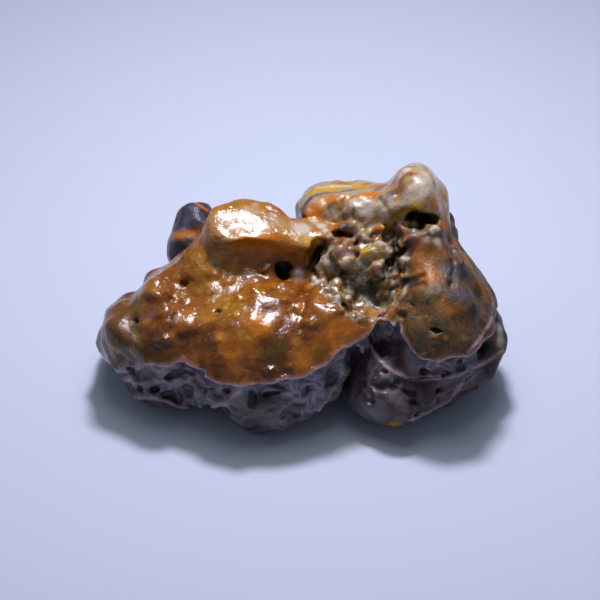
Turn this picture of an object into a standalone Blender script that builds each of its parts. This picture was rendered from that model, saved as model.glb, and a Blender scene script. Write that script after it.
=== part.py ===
"""Raw gobi agate: one wind-polished chalcedony nodule, about 47 x 28 x 25 mm, resting on its feet.

An amber slab with a drawn-out lobe lies along the front. Its lower edge is a sharp lip, and under the
lip a grey wall steps in and ends in a second lip. A flat-topped brow rises from the slab over a
recess. A pitted, lumpy hollow lies between the brow, a tall snout with an open mouth under it and a
large round mass at the right. Low lobes under all of them carry the stone on the ground.

The nodule is built as ellipsoid lumps and skirts, hollowed with cutters, joined by a voxel remesh and
then drawn onto one smooth blend of the same lumps, so that the lumps flow into each other. Lengths in
the tables are millimetres in the stone's own frame, +Z up, ground at Z = 0.
"""
import math

import bmesh
import bpy
import numpy as np
from mathutils import Euler, Matrix, Vector

MM = 0.001
VOXEL = 0.42                 # mm, size of the remesh that joins the lumps
TRIANGLES = 9300             # of the finished solid
LEAN = 48.0                  # degrees, how far the tall lumps lean back from the vertical
LIP_STEP = 0.55              # mm, how far the grey wall stands in under the lip
LIP_FALL = 8.5               # mm, how far the lip sinks behind the front of the stone
GROUND_SINK = 6.0            # mm, depth of the block that trims the feet flat

# name, centre, radii, turn in degrees about X Y Z, blend radius with the lumps before it
SLAB = (
    ("front", (-4.4, 0.3, 6.0), (14.0, 11.2, 8.8), (0, 0, 0), 0.1),
    ("shelf", (4.4, -0.6, 8.8), (6.4, 7.0, 6.4), (0, 0, 0), 2.0),
    ("shoulder", (-15.0, 0.5, 7.4), (5.2, 8.4, 6.3), (0, 0, 0), 1.5),
    ("left lobe", (-20.2, 1.7, 6.4), (3.1, 4.5, 6.6), (LEAN, 0, 0), 0.8),
    ("knob", (-16.3, 2.6, 11.9), (2.2, 1.6, 4.5), (LEAN, 0, 0), 2.0),
    ("left ridge", (-10.9, 5.8, 13.4), (4.6, 2.6, 4.6), (LEAN, 0, 35), 3.0),
)
BROW = (
    ("hump", (-6.1, 6.2, 15.6), (5.2, 4.6, 6.2), (0, 0, 0), 0.1),
    ("arm", (1.0, 5.5, 16.4), (5.0, 2.6, 4.2), (0, 0, -6), 0.8),
)
FIN = (
    ("flake", (-12.3, 9.5, 12.8), (3.2, 5.2, 2.8), (LEAN, 0, 0), 0.1),
)
RIGHT = (
    ("right mass", (14.8, 0.6, 9.0), (7.3, 9.4, 9.4), (0, 0, 0), 0.1),
    ("snout", (12.9, 10.3, 18.9), (3.4, 4.2, 7.0), (LEAN, 0, 0), 1.2),
    ("snout root", (9.9, 10.6, 17.7), (4.2, 2.7, 6.5), (LEAN, 0, 0), 1.0),
    ("chin", (13.8, 6.8, 15.0), (3.2, 4.2, 7.2), (LEAN, 0, 0), 2.0),
    ("back band", (5.8, 13.1, 16.0), (4.4, 2.6, 6.0), (LEAN, 0, 0), 0.8),
    ("band end", (2.1, 12.6, 15.5), (2.6, 2.9, 5.5), (LEAN, 0, 0), 0.8),
    ("hollow floor", (7.0, 7.3, 11.8), (6.0, 6.6, 8.0), (LEAN, 0, 0), 1.0),
)
FEET = (
    ("right foot", (10.3, -4.3, 4.2), (5.6, 5.0, 4.5), (0, 0, 0), 0.1),
    ("right flank", (16.0, 0.6, 6.3), (7.4, 7.0, 6.0), (0, 0, 0), 1.5),
    ("middle foot", (-4.3, -5.6, 4.2), (6.0, 4.7, 4.5), (0, 0, 0), 1.2),
    ("left foot", (-15.3, -2.2, 3.3), (5.4, 4.2, 3.0), (0, 0, 0), 0.8),
    ("left back", (-6.5, 5.0, 7.2), (10.5, 7.0, 7.0), (0, 0, 0), 2.0),
    ("right back", (9.0, 4.6, 8.0), (9.5, 8.0, 8.3), (0, 0, 0), 2.0),
    ("back rise", (10.5, 10.5, 12.5), (7.5, 5.5, 6.5), (0, 0, 0), 2.0),
    ("back fill", (-1.0, 8.0, 11.0), (7.5, 5.0, 6.0), (0, 0, 0), 2.0),
)
SKIRTED = ("front", "shelf", "shoulder", "right mass")

# name, centre, radii, turn, edge radius: the recess under the brow and the open mouth
SCOOPS = (
    ("brow recess", (-4.0, 0.6, 17.4), (9.5, 3.9, 2.9), (8, 0, 0), 0.15),
)
MOUTH = (
    ("mouth", (12.9, 2.1, 23.2), (2.9, 1.3, 6.5), (LEAN, 0, 0), 0.25),
)
# name, points, radius at each point, edge radius
CLEFT = (
    ("cleft", ((10.5, -4.5, 14.5), (10.2, -7.9, 12.9)), (0.7, 1.6), 0.5),
)
TUNNELS = (
    ("hole", ((-2.2, -1.9, 18.9), (-2.0, 5.2, 13.3)), (1.1, 1.0), 0.25),
    ("cave", ((1.2, -1.0, 18.4), (1.1, 2.9, 16.6), (1.8, 3.6, 17.5), (3.1, 3.2, 18.5)),
     (1.0, 1.3, 1.3, 0.8), 0.3),
    ("mouth corner", ((11.6, 2.9, 22.6), (9.7, 3.0, 21.2)), (0.8, 0.4), 0.3),
    ("wall pocket", ((-17.9, -8.5, 7.7), (-13.8, -9.7, 7.9), (-13.2, -10.1, 6.7)), (0.6, 1.4, 0.8), 0.5),
    ("end pocket", ((3.9, -8.6, 9.9), (2.6, -9.7, 9.4)), (0.8, 0.5), 0.3),
    ("upper slot", ((3.8, 4.1, 19.5), (5.6, 4.0, 19.4)), (0.5, 0.8), 0.3),
    ("middle slot", ((11.7, 1.1, 19.2), (10.0, 0.6, 17.9), (9.3, 0.7, 17.2)), (0.5, 0.9, 0.5), 0.3),
    ("lower slot", ((12.7, -2.2, 17.7), (10.8, -2.0, 17.2), (9.7, -2.8, 15.6)), (0.5, 0.8, 0.5), 0.3),
)

# height of the sharp lip, and of the second lip where the grey wall ends, along X
LIP = ((-26, 6.4), (-20.6, 6.4), (-19.4, 7.6), (-18.2, 9.6), (-16, 10.4), (-13, 10.3), (-11.2, 9.9),
       (-10, 9.4), (-8, 9.4), (-4, 9.7), (0.5, 9.7), (2.6, 10.6), (4, 11.8), (6, 12.4), (8.5, 13.2),
       (10.6, 13.4), (11.6, 12.4), (13, 11.8), (18, 11.8), (26, 11.4))
WALL_END = ((-26, 3.4), (-19, 4.0), (-17.3, 4.5), (-15.4, 4.0), (-13.8, 3.0), (-12, 3.2), (-10.6, 4.2),
            (-8, 5.4), (-6, 5.0), (0, 4.0), (2, 4.2), (4, 5.5), (5.5, 9.0), (8, 9.6), (9.5, 8.8),
            (11, 8.4), (26, 8.4))

BROW_FLAT_POINT = (-4.0, 4.3, 19.2)      # the flat facet on top of the brow
BROW_FLAT_NORMAL = (0.10, -0.20, 0.97)
PITTED_CENTRE = (6.7, 1.5, 15.9)         # the lumpy, pitted hollow
PITTED_RADII = (6.2, 6.6, 6.5)
PEBBLE = 2.3                             # mm, width of one lump in it


def rotation(turn):
    """3 x 3 matrix of a turn in degrees about X, then Y, then Z."""
    return np.array(Euler([math.radians(a) for a in turn], "XYZ").to_matrix())


def ellipsoid(points, centre, radii, turn):
    """Approximate signed distance to an ellipsoid, negative inside."""
    local = (points - np.array(centre, float)) @ rotation(turn)
    radii = np.array(radii, float)
    near = np.linalg.norm(local / radii, axis=-1)
    slope = np.linalg.norm(local / radii ** 2, axis=-1)
    return near * (near - 1.0) / np.maximum(slope, 1e-9)


def stroke(points, path, radii):
    """Signed distance to a rounded path whose radius changes from point to point."""
    path = np.array(path, float)
    best = np.full(points.shape[:-1], 1e9)
    for a, b, r_a, r_b in zip(path[:-1], path[1:], radii[:-1], radii[1:]):
        along = np.clip(((points - a) @ (b - a)) / ((b - a) @ (b - a)), 0.0, 1.0)
        gap = np.linalg.norm(points - a - along[..., None] * (b - a), axis=-1)
        best = np.minimum(best, gap - r_a - (r_b - r_a) * along)
    return best


def join(a, b, radius):
    """Smooth union of two distance arrays."""
    overlap = np.maximum(radius - np.abs(a - b), 0.0) / radius
    return np.minimum(a, b) - overlap * overlap * radius * 0.25


def carve(a, b, radius):
    """Distance array a with everything inside b taken out, the edge rounded."""
    return -join(-a, b, radius)


def blend(points, lumps):
    """Smooth union of a table of lumps."""
    total = None
    for _, centre, radii, turn, radius in lumps:
        lump = ellipsoid(points, centre, radii, turn)
        total = lump if total is None else join(total, lump, radius)
    return total


def ripple(points, seed, count, shortest, longest):
    """Sum of plane sine waves with seeded directions, lengths (mm) and phases."""
    rng = np.random.default_rng(seed)
    heading = rng.normal(size=(count, 3))
    heading /= np.linalg.norm(heading, axis=1)[:, None]
    length = shortest * (longest / shortest) ** rng.random(count)
    phase = rng.random(count) * 2 * np.pi
    total = np.zeros(points.shape[:-1])
    for way, shift in zip(heading * (2 * np.pi / length)[:, None], phase):
        total += np.sin(points @ way + shift)
    return total / np.sqrt(count)


def level(table, x):
    """Height from a table of (x, height), its corners rounded."""
    at = np.linspace(table[0][0], table[-1][0], 400)
    height = np.interp(at, [row[0] for row in table], [row[1] for row in table])
    window = np.hanning(11)
    height = np.convolve(np.pad(height, 5, "edge"), window / window.sum(), "valid")
    return np.interp(x, at, height)


def scatter(cell, seed):
    """Repeatable number 0 to 1 for each whole-number cell."""
    mixed = (cell[..., 0] * 73856093) ^ (cell[..., 1] * 19349663) ^ (cell[..., 2] * 83492791)
    mixed = mixed ^ (seed * 2654435)
    mixed = ((mixed ^ (mixed >> 13)) * 1274126177) & 0xffffffff
    return ((mixed ^ (mixed >> 16)) & 0xffff) / 65535.0


def pebbles(points, size, seed):
    """Distance, in cell widths, to the nearest of one scattered point per cubic cell."""
    scaled = points / size
    base = np.floor(scaled).astype(np.int64)
    best = np.full(points.shape[:-1], 9.0)
    for offset in np.ndindex(3, 3, 3):
        cell = base + np.array(offset) - 1
        centre = cell + np.stack([scatter(cell, seed + axis) for axis in range(3)], -1)
        best = np.minimum(best, ((scaled - centre) ** 2).sum(-1))
    return np.sqrt(best)


def pitted_relief(points):
    """How far the pitted hollow's lumps and pits move the surface in (+) or out (-)."""
    depth = np.clip(-ellipsoid(points, PITTED_CENTRE, PITTED_RADII, (LEAN, 0, 0)) / 1.8, 0.0, 1.0)
    weight = depth * depth * (3 - 2 * depth)
    return weight * 1.9 * (pebbles(points, PEBBLE, 5) - 0.42)


def upper_form(points):
    """Slab, brow, fin and right-hand masses, before the lip is cut."""
    normal = np.array(BROW_FLAT_NORMAL) / np.linalg.norm(BROW_FLAT_NORMAL)
    flat = (points - np.array(BROW_FLAT_POINT)) @ normal
    form = join(blend(points, SLAB), carve(blend(points, BROW), -flat, 0.5), 1.0)
    form = join(form, blend(points, FIN), 0.4)
    form = join(form, blend(points, RIGHT), 0.8) + pitted_relief(points)
    for _, centre, radii, turn, edge in SCOOPS:
        form = carve(form, ellipsoid(points, centre, radii, turn), edge)
    for _, path, radii, edge in CLEFT:
        form = carve(form, stroke(points, path, radii), edge)
    return form


def sink_behind(points):
    """How far the underside of the upper masses sinks towards the back of the stone."""
    return LIP_FALL * np.clip((points[..., 1] - 1.0) / 6.0, 0.0, 1.0) ** 2


def lip_height(points):
    """Height of the sharp lip, falling away behind the front of the stone."""
    return level(LIP, points[..., 0]) - sink_behind(points)


def stone_form(points):
    """Signed distance to the finished nodule, before its feet are trimmed flat."""
    bent = points.copy()
    for axis in range(3):
        bent[..., axis] += 0.30 * ripple(points, 11 + axis, 5, 7.0, 14.0)
        bent[..., axis] += 0.19 * ripple(points, 21 + axis, 7, 2.8, 5.5)
    height = bent[..., 2]
    lip = lip_height(bent)
    upper = carve(upper_form(bent), height - lip, 0.3)
    footprint = bent.copy()
    footprint[..., 2] = np.maximum(height, lip + 0.3)
    wall = carve(upper_form(footprint) + LIP_STEP, height - level(WALL_END, bent[..., 0]), 0.5)
    form = join(join(upper, wall, 0.3), blend(bent, FEET), 0.6)
    for _, centre, radii, turn, edge in MOUTH:
        form = carve(form, ellipsoid(bent, centre, radii, turn), edge)
    for _, path, radii, edge in TUNNELS:
        form = carve(form, stroke(bent, path, radii), edge)
    return form


def draw_onto_form(points, rounds, reach):
    """Move points along the form's slope until they lie on its surface, at most reach mm a round."""
    corners = np.array(((1, -1, -1), (-1, -1, 1), (-1, 1, -1), (1, 1, 1)), float)
    step = 0.03
    for _ in range(rounds):
        slope = sum(c * stone_form(points + step * c)[:, None] for c in corners) / (4 * step)
        push = -slope * (stone_form(points) / np.maximum((slope ** 2).sum(1), 0.05))[:, None]
        size = np.linalg.norm(push, axis=1)[:, None]
        points = points + push * np.minimum(1.0, reach / np.maximum(size, 1e-9))
    return points


def coordinates(mesh):
    """Vertex positions of a mesh in millimetres."""
    flat = np.empty(len(mesh.vertices) * 3)
    mesh.vertices.foreach_get("co", flat)
    return flat.reshape(-1, 3) / MM


def place(mesh, points):
    """Write vertex positions given in millimetres."""
    mesh.vertices.foreach_set("co", (points * MM).ravel())
    mesh.update()


def ball(name, centre, radii, turn, detail=4):
    """Ellipsoid made from an icosphere, as an object with its place in the mesh."""
    mesh = bpy.data.meshes.new(name)
    shell = bmesh.new()
    bmesh.ops.create_icosphere(shell, subdivisions=detail, radius=1.0)
    shell.to_mesh(mesh)
    shell.free()
    unit = coordinates(mesh) * MM
    place(mesh, (unit * np.array(radii, float)) @ rotation(turn).T + np.array(centre, float))
    return bpy.data.objects.new(name, mesh)


def skirt(name, centre, radii):
    """Upright elliptic wall under a lump, from its lip down to the end of the grey wall."""
    mesh = bpy.data.meshes.new(name + " skirt")
    shell = bmesh.new()
    bmesh.ops.create_cone(shell, cap_ends=True, segments=64, radius1=1.0, radius2=1.0, depth=1.0)
    shell.to_mesh(mesh)
    shell.free()
    unit = coordinates(mesh) * MM
    top = lip_height(np.array(((centre[0], centre[1] - radii[1], 0.0),)))[0]
    waist = 0.95 * math.sqrt(1.0 - ((top - centre[2]) / radii[2]) ** 2)
    points = unit * np.array(radii, float) * waist + np.array(centre, float)
    low = np.minimum(level(WALL_END, points[:, 0]), top - 1.0)
    points[:, 2] = np.where(unit[:, 2] > 0, top, low)
    place(mesh, points)
    return bpy.data.objects.new(name + " skirt", mesh)


def beads(name, path, radii):
    """Cutter along a path: closely spaced balls."""
    path = np.array(path, float)
    made = []
    for a, b, r_a, r_b in zip(path[:-1], path[1:], radii[:-1], radii[1:]):
        count = max(2, int(np.linalg.norm(b - a) / 0.6))
        for t in np.linspace(0.0, 1.0, count):
            radius = r_a + (r_b - r_a) * t
            made.append(ball(name, a + (b - a) * t, (radius,) * 3, (0, 0, 0), detail=2))
    return made


def merge(name, objects, collection):
    """One object out of many, in the given collection."""
    shell = bmesh.new()
    for item in objects:
        shell.from_mesh(item.data)
        bpy.data.objects.remove(item)
    mesh = bpy.data.meshes.new(name)
    shell.to_mesh(mesh)
    shell.free()
    merged = bpy.data.objects.new(name, mesh)
    collection.objects.link(merged)
    return merged


def remesh(item):
    """Voxel remesh, which keeps only the outer skin of overlapping lumps."""
    skin = item.modifiers.new("join", "REMESH")
    skin.mode = "VOXEL"
    skin.voxel_size = VOXEL * MM
    skin.adaptivity = 0.0


def subtract(item, cutter, name):
    """Take the cutter out of the item."""
    cut = item.modifiers.new(name, "BOOLEAN")
    cut.operation = "DIFFERENCE"
    cut.solver = "EXACT"
    cut.use_self = True
    cut.object = cutter
    cutter.display_type = "WIRE"
    cutter.hide_render = True


def bake(item):
    """Replace the item's mesh by the result of its modifiers."""
    bpy.context.view_layer.update()
    graph = bpy.context.evaluated_depsgraph_get()
    mesh = bpy.data.meshes.new_from_object(item.evaluated_get(graph))
    item.modifiers.clear()
    item.data = mesh


def trim_lumps(item):
    """Keep the front lumps' undersides from hanging below the end of the grey wall."""
    points = coordinates(item.data)
    floor = level(WALL_END, points[:, 0]) - sink_behind(points)
    points[:, 2] = np.maximum(points[:, 2], floor)
    place(item.data, points)


def largest_piece(mesh):
    """Drop every loose crumb and keep the largest connected piece."""
    shell = bmesh.new()
    shell.from_mesh(mesh)
    left = set(shell.verts)
    pieces = []
    while left:
        stack = [left.pop()]
        piece = list(stack)
        while stack:
            for edge in stack.pop().link_edges:
                for vert in edge.verts:
                    if vert in left:
                        left.remove(vert)
                        stack.append(vert)
                        piece.append(vert)
        pieces.append(piece)
    pieces.sort(key=len)
    for piece in pieces[:-1]:
        bmesh.ops.delete(shell, geom=piece, context="VERTS")
    bmesh.ops.triangulate(shell, faces=shell.faces)
    shell.to_mesh(mesh)
    shell.free()


def centre_footprint(mesh):
    """Move the stone along X and Y so that the middle of its outline seen from above is the origin."""
    points = coordinates(mesh)
    middle = (points.min(0) + points.max(0)) / 2
    middle[2] = 0.0
    place(mesh, points - middle)


def agate_material():
    """Amber chalcedony with a polished desert skin."""
    material = bpy.data.materials.new("agate amber chalcedony")
    material.use_nodes = True
    shader = material.node_tree.nodes["Principled BSDF"]
    shader.inputs["Base Color"].default_value = (0.30, 0.12, 0.03, 1.0)
    shader.inputs["Roughness"].default_value = 0.22
    shader.inputs["Metallic"].default_value = 0.0
    return material


def build():
    """Build the nodule and leave it in the scene with its base cutter."""
    for item in list(bpy.data.objects):
        bpy.data.objects.remove(item)
    scene = bpy.context.scene
    stone_set = bpy.data.collections.new("gobi agate")
    cutter_set = bpy.data.collections.new("cutters")
    scene.collection.children.link(stone_set)
    scene.collection.children.link(cutter_set)

    upper = []
    for name, centre, radii, turn, _ in SLAB + BROW + FIN + RIGHT:
        upper.append(ball(name, centre, radii, turn))
        trim_lumps(upper[-1])
        if name in SKIRTED:
            upper.append(skirt(name, centre, radii))
    lower = [ball(name, centre, radii, turn) for name, centre, radii, turn, _ in FEET]
    agate = merge("agate", upper + lower, stone_set)
    remesh(agate)
    bake(agate)

    hollows = [ball(name, centre, radii, turn) for name, centre, radii, turn, _ in SCOOPS + MOUTH]
    for name, path, radii, _ in CLEFT + TUNNELS:
        hollows += beads(name, path, radii)
    hollow_cutter = merge("hollow cutter", hollows, cutter_set)
    remesh(hollow_cutter)
    bake(hollow_cutter)
    subtract(agate, hollow_cutter, "hollows")
    remesh(agate)
    bake(agate)
    largest_piece(agate.data)
    place(agate.data, draw_onto_form(coordinates(agate.data), 6, 0.6))
    remesh(agate)
    bake(agate)
    largest_piece(agate.data)
    thin = agate.modifiers.new("thin out", "DECIMATE")
    thin.ratio = TRIANGLES / len(agate.data.polygons)
    bake(agate)
    centre_footprint(agate.data)

    base_mesh = bpy.data.meshes.new("base cutter")
    shell = bmesh.new()
    bmesh.ops.create_cube(shell, size=1.0)
    bmesh.ops.transform(shell, matrix=Matrix.Diagonal((80 * MM, 60 * MM, GROUND_SINK * MM, 1.0)),
                        verts=shell.verts)
    bmesh.ops.translate(shell, vec=Vector((0.0, 0.0, -GROUND_SINK * MM / 2)), verts=shell.verts)
    shell.to_mesh(base_mesh)
    shell.free()
    base_cutter = bpy.data.objects.new("base cutter", base_mesh)
    cutter_set.objects.link(base_cutter)
    subtract(agate, base_cutter, "feet trimmed flat")
    agate.data.materials.clear()
    agate.data.materials.append(agate_material())
    return agate


build()
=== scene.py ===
"""Looks of a raw gobi agate: one wind-polished nodule in amber, grey and banded chalcedony.

The stone is one blend of lumps. It is held as a signed distance, worked out for whole arrays of
points, and its skin is drawn through the points where that distance is nought. A grid of two
parameters can't follow the overhanging lips, the caves and the open mouth, so the skin is a net over
a block of cells. The tables are millimetres in the stone's own frame, +Z up, ground at Z = 0.
"""
import logging
import math
from dataclasses import dataclass, field, replace
from enum import Enum
from typing import Callable

import bpy
import numpy as np
from mathutils import Euler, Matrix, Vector


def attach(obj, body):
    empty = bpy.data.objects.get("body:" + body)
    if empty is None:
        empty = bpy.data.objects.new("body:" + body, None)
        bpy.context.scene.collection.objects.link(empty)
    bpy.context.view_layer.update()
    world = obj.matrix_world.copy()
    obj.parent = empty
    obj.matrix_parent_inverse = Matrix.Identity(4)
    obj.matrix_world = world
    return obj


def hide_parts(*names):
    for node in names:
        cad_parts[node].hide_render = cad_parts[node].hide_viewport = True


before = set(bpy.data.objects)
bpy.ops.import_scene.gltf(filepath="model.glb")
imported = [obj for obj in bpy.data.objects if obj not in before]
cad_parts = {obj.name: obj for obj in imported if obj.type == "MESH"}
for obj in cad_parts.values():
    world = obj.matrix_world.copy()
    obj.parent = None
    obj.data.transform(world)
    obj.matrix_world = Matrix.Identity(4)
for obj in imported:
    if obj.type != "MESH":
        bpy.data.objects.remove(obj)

LOG = logging.getLogger("agate")
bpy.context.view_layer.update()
MM = 0.001
LEAN = 48.0                              # degrees, how far the show face leans back
MIDDLE = (-0.016, 4.022, 0.0)            # mm, middle of the footprint in the stone's own frame
CHUNK = 8000                             # points worked out at once
BRICK = 5.0                              # mm, points of one brick are worked out together
BRICK_SHIFT = 64                         # bricks, keeps their numbers above nought
BRICK_BITS = 8                           # bits kept for a brick's number along each axis
FAR = 1e9                                # mm, further than anything
TINY = 1e-9                              # keeps a division from nought
PRIMES = (73856093, 19349663, 83492791)  # one for each axis, to scatter points in cells
SEED_PRIME = 2654435                     # parts the patterns of two seeds
MIX_PRIME = 1274126177                   # mixes the bits of a cell's number
MIX_BITS = 13
HALF_BITS = 16
WORD = 0xffffffff
HALF_WORD = 0xffff

Span = tuple[float, float]
Line = tuple[tuple[float, float], ...]
Colour = tuple[float, float, float]
Stops = tuple[tuple[float, Colour], ...]
Vec3 = tuple[float, float, float]
Row = tuple[float, float, float, float]
Field = Callable[[np.ndarray], np.ndarray]


# ---------------------------------------------------------------- distances

def rotation(turn: Vec3) -> np.ndarray:
    """3 x 3 matrix of a turn in degrees about X, then Y, then Z."""
    return np.array(Euler([math.radians(a) for a in turn], "XYZ").to_matrix())


def join(a: np.ndarray, b: np.ndarray, radius: float) -> np.ndarray:
    """Smooth union: the smaller distance, lowered by a quarter of the squared overlap.

    Args:
        a: distances to one form.
        b: distances to the other.
        radius: width over which the two flow together.

    Returns:
        Distances to both.
    """
    overlap = np.maximum(radius - np.abs(a - b), 0.0) / radius
    return np.minimum(a, b) - overlap * overlap * radius * 0.25


def carve(a: np.ndarray, b: np.ndarray, radius: float) -> np.ndarray:
    """Distance a with all that is inside b taken out, its edge rounded by radius."""
    return -join(-a, b, radius)


def smooth(value: np.ndarray, low: float, high: float) -> np.ndarray:
    """Rise from 0 at low to 1 at high, level at both ends: 3 t squared less 2 t cubed."""
    t = np.clip((value - low) / (high - low), 0.0, 1.0)
    return t * t * (3.0 - 2.0 * t)


def ellipsoid(local: np.ndarray, radii: Vec3) -> np.ndarray:
    """Signed distance: k (k - 1) / g, k the scaled radius of a point and g its slope.

    Args:
        local: points along the ellipsoid's own axes, from its middle.
        radii: its half sizes.

    Returns:
        Distances, a little off far away and right near the skin.
    """
    near = np.linalg.norm(local / np.array(radii), axis=-1)
    grade = np.linalg.norm(local / np.array(radii) ** 2, axis=-1)
    return near * (near - 1.0) / np.maximum(grade, TINY)


@dataclass(frozen=True)
class Lump:
    """One ellipsoid lump of the stone, or one ellipsoid hollow in it."""

    name: str
    centre: Vec3
    radii: Vec3
    turn: Vec3 = (0.0, 0.0, 0.0)
    blend: float = 1.0

    def distance(self, points: np.ndarray) -> np.ndarray:
        """Signed distance to the lump."""
        return ellipsoid((points - np.array(self.centre)) @ rotation(self.turn), self.radii)


@dataclass(frozen=True)
class Groove:
    """A rounded path whose radius changes from point to point: a hole, cave, slot or pocket."""

    name: str
    path: tuple[Vec3, ...]
    radii: tuple[float, ...]
    edge: float = 0.3

    def distance(self, points: np.ndarray) -> np.ndarray:
        """Signed distance: gap to the nearest stretch of the path less the radius there.

        Args:
            points: where it is wanted.

        Returns:
            Distances.
        """
        path = np.array(self.path)
        best = np.full(points.shape[:-1], FAR)
        for a, b, r_a, r_b in zip(path[:-1], path[1:], self.radii[:-1], self.radii[1:]):
            along = np.clip(((points - a) @ (b - a)) / ((b - a) @ (b - a)), 0.0, 1.0)
            gap = np.linalg.norm(points - a - along[..., None] * (b - a), axis=-1)
            best = np.minimum(best, gap - r_a - (r_b - r_a) * along)
        return best


def blend(points: np.ndarray, lumps: tuple[Lump, ...]) -> np.ndarray:
    """Smooth union of a group of lumps."""
    total = lumps[0].distance(points)
    for lump in lumps[1:]:
        total = join(total, lump.distance(points), lump.blend)
    return total


@dataclass(frozen=True)
class Ripple:
    """Low relief made of plane sine waves with seeded directions, lengths and phases."""

    seed: int
    count: int
    shortest: float
    longest: float
    size: float = 1.0

    def height(self, points: np.ndarray, turn: int = 0) -> np.ndarray:
        """Size times the sum of the waves over the square root of their number.

        Args:
            points: where it is wanted.
            turn: added to the seed, so that one ripple gives several that differ.

        Returns:
            Heights, mostly between minus and plus the size.
        """
        rng = np.random.default_rng(self.seed + turn)
        heading = rng.normal(size=(self.count, 3))
        heading /= np.linalg.norm(heading, axis=1)[:, None]
        length = self.shortest * (self.longest / self.shortest) ** rng.random(self.count)
        phase = rng.random(self.count) * 2 * np.pi
        total = np.zeros(points.shape[:-1])
        for way, shift in zip(heading * (2 * np.pi / length)[:, None], phase):
            total += np.sin(points @ way + shift)
        return self.size * total / np.sqrt(self.count)

    def shift(self, points: np.ndarray) -> np.ndarray:
        """Three of its heights, one for each axis."""
        return np.stack([self.height(points, axis) for axis in range(3)], -1)


@dataclass(frozen=True)
class Cells:
    """One scattered point per cubic cell, for pebbly lumps and for pits."""

    size: Vec3
    seed: int

    @staticmethod
    def scatter(cell: np.ndarray, seed: int) -> np.ndarray:
        """Repeatable number 0 to 1 for each whole-number cell, by mixing its bits."""
        mixed = (cell[..., 0] * PRIMES[0]) ^ (cell[..., 1] * PRIMES[1]) ^ (cell[..., 2] * PRIMES[2])
        mixed = mixed ^ (seed * SEED_PRIME)
        mixed = ((mixed ^ (mixed >> MIX_BITS)) * MIX_PRIME) & WORD
        return ((mixed ^ (mixed >> HALF_BITS)) & HALF_WORD) / HALF_WORD

    def pair(self, points: np.ndarray) -> tuple[np.ndarray, np.ndarray]:
        """Distances to the nearest scattered point and to the next one, in cell widths.

        Args:
            points: where it is wanted.

        Returns:
            Both distances.
        """
        scaled = points / np.array(self.size)
        base = np.floor(scaled).astype(np.int64)
        best = np.full(points.shape[:-1], FAR)
        second = best.copy()
        for offset in np.ndindex(3, 3, 3):
            cell = base + np.array(offset) - 1
            centre = cell + np.stack([self.scatter(cell, self.seed + a) for a in range(3)], -1)
            gap = ((scaled - centre) ** 2).sum(-1)
            second = np.minimum(second, np.maximum(best, gap))
            best = np.minimum(best, gap)
        return np.sqrt(best), np.sqrt(second)

    def nearest(self, points: np.ndarray) -> np.ndarray:
        """Distance to the nearest scattered point, in cell widths."""
        return self.pair(points)[0]


@dataclass(frozen=True)
class Profile:
    """A height that changes along X, given at a few places and rounded between them."""

    places: Line
    samples: int = 400
    softening: int = 5

    def height(self, x: np.ndarray) -> np.ndarray:
        """Straight lines between the places, averaged over a short raised-cosine window.

        Args:
            x: where it is wanted.

        Returns:
            Heights.
        """
        at = np.linspace(self.places[0][0], self.places[-1][0], self.samples)
        level = np.interp(at, [p[0] for p in self.places], [p[1] for p in self.places])
        window = np.hanning(2 * self.softening + 1)
        level = np.convolve(np.pad(level, self.softening, "edge"), window / window.sum(), "valid")
        return np.interp(x, at, level)


@dataclass(frozen=True)
class Pebbles:
    """Pebbly relief: each scattered point is the middle of a bump."""

    cells: Cells
    level: float
    depth: float

    def depth_at(self, points: np.ndarray) -> np.ndarray:
        """Depth times the distance to the nearest point, less the level that is left as it is."""
        return self.depth * (self.cells.nearest(points) - self.level)


@dataclass(frozen=True)
class Flat:
    """A flat facet through a place, with the rounding of its edge."""

    place: Vec3
    normal: Vec3
    edge: float

    def above(self, points: np.ndarray) -> np.ndarray:
        """How far points stand out of the facet."""
        return (points - np.array(self.place)) @ (np.array(self.normal) / np.linalg.norm(self.normal))

    def cut(self, form: np.ndarray, points: np.ndarray) -> np.ndarray:
        """Distance with all that stands out of the facet taken off."""
        return carve(form, -self.above(points), self.edge)


# ---------------------------------------------------------------- the stone's form

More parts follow.
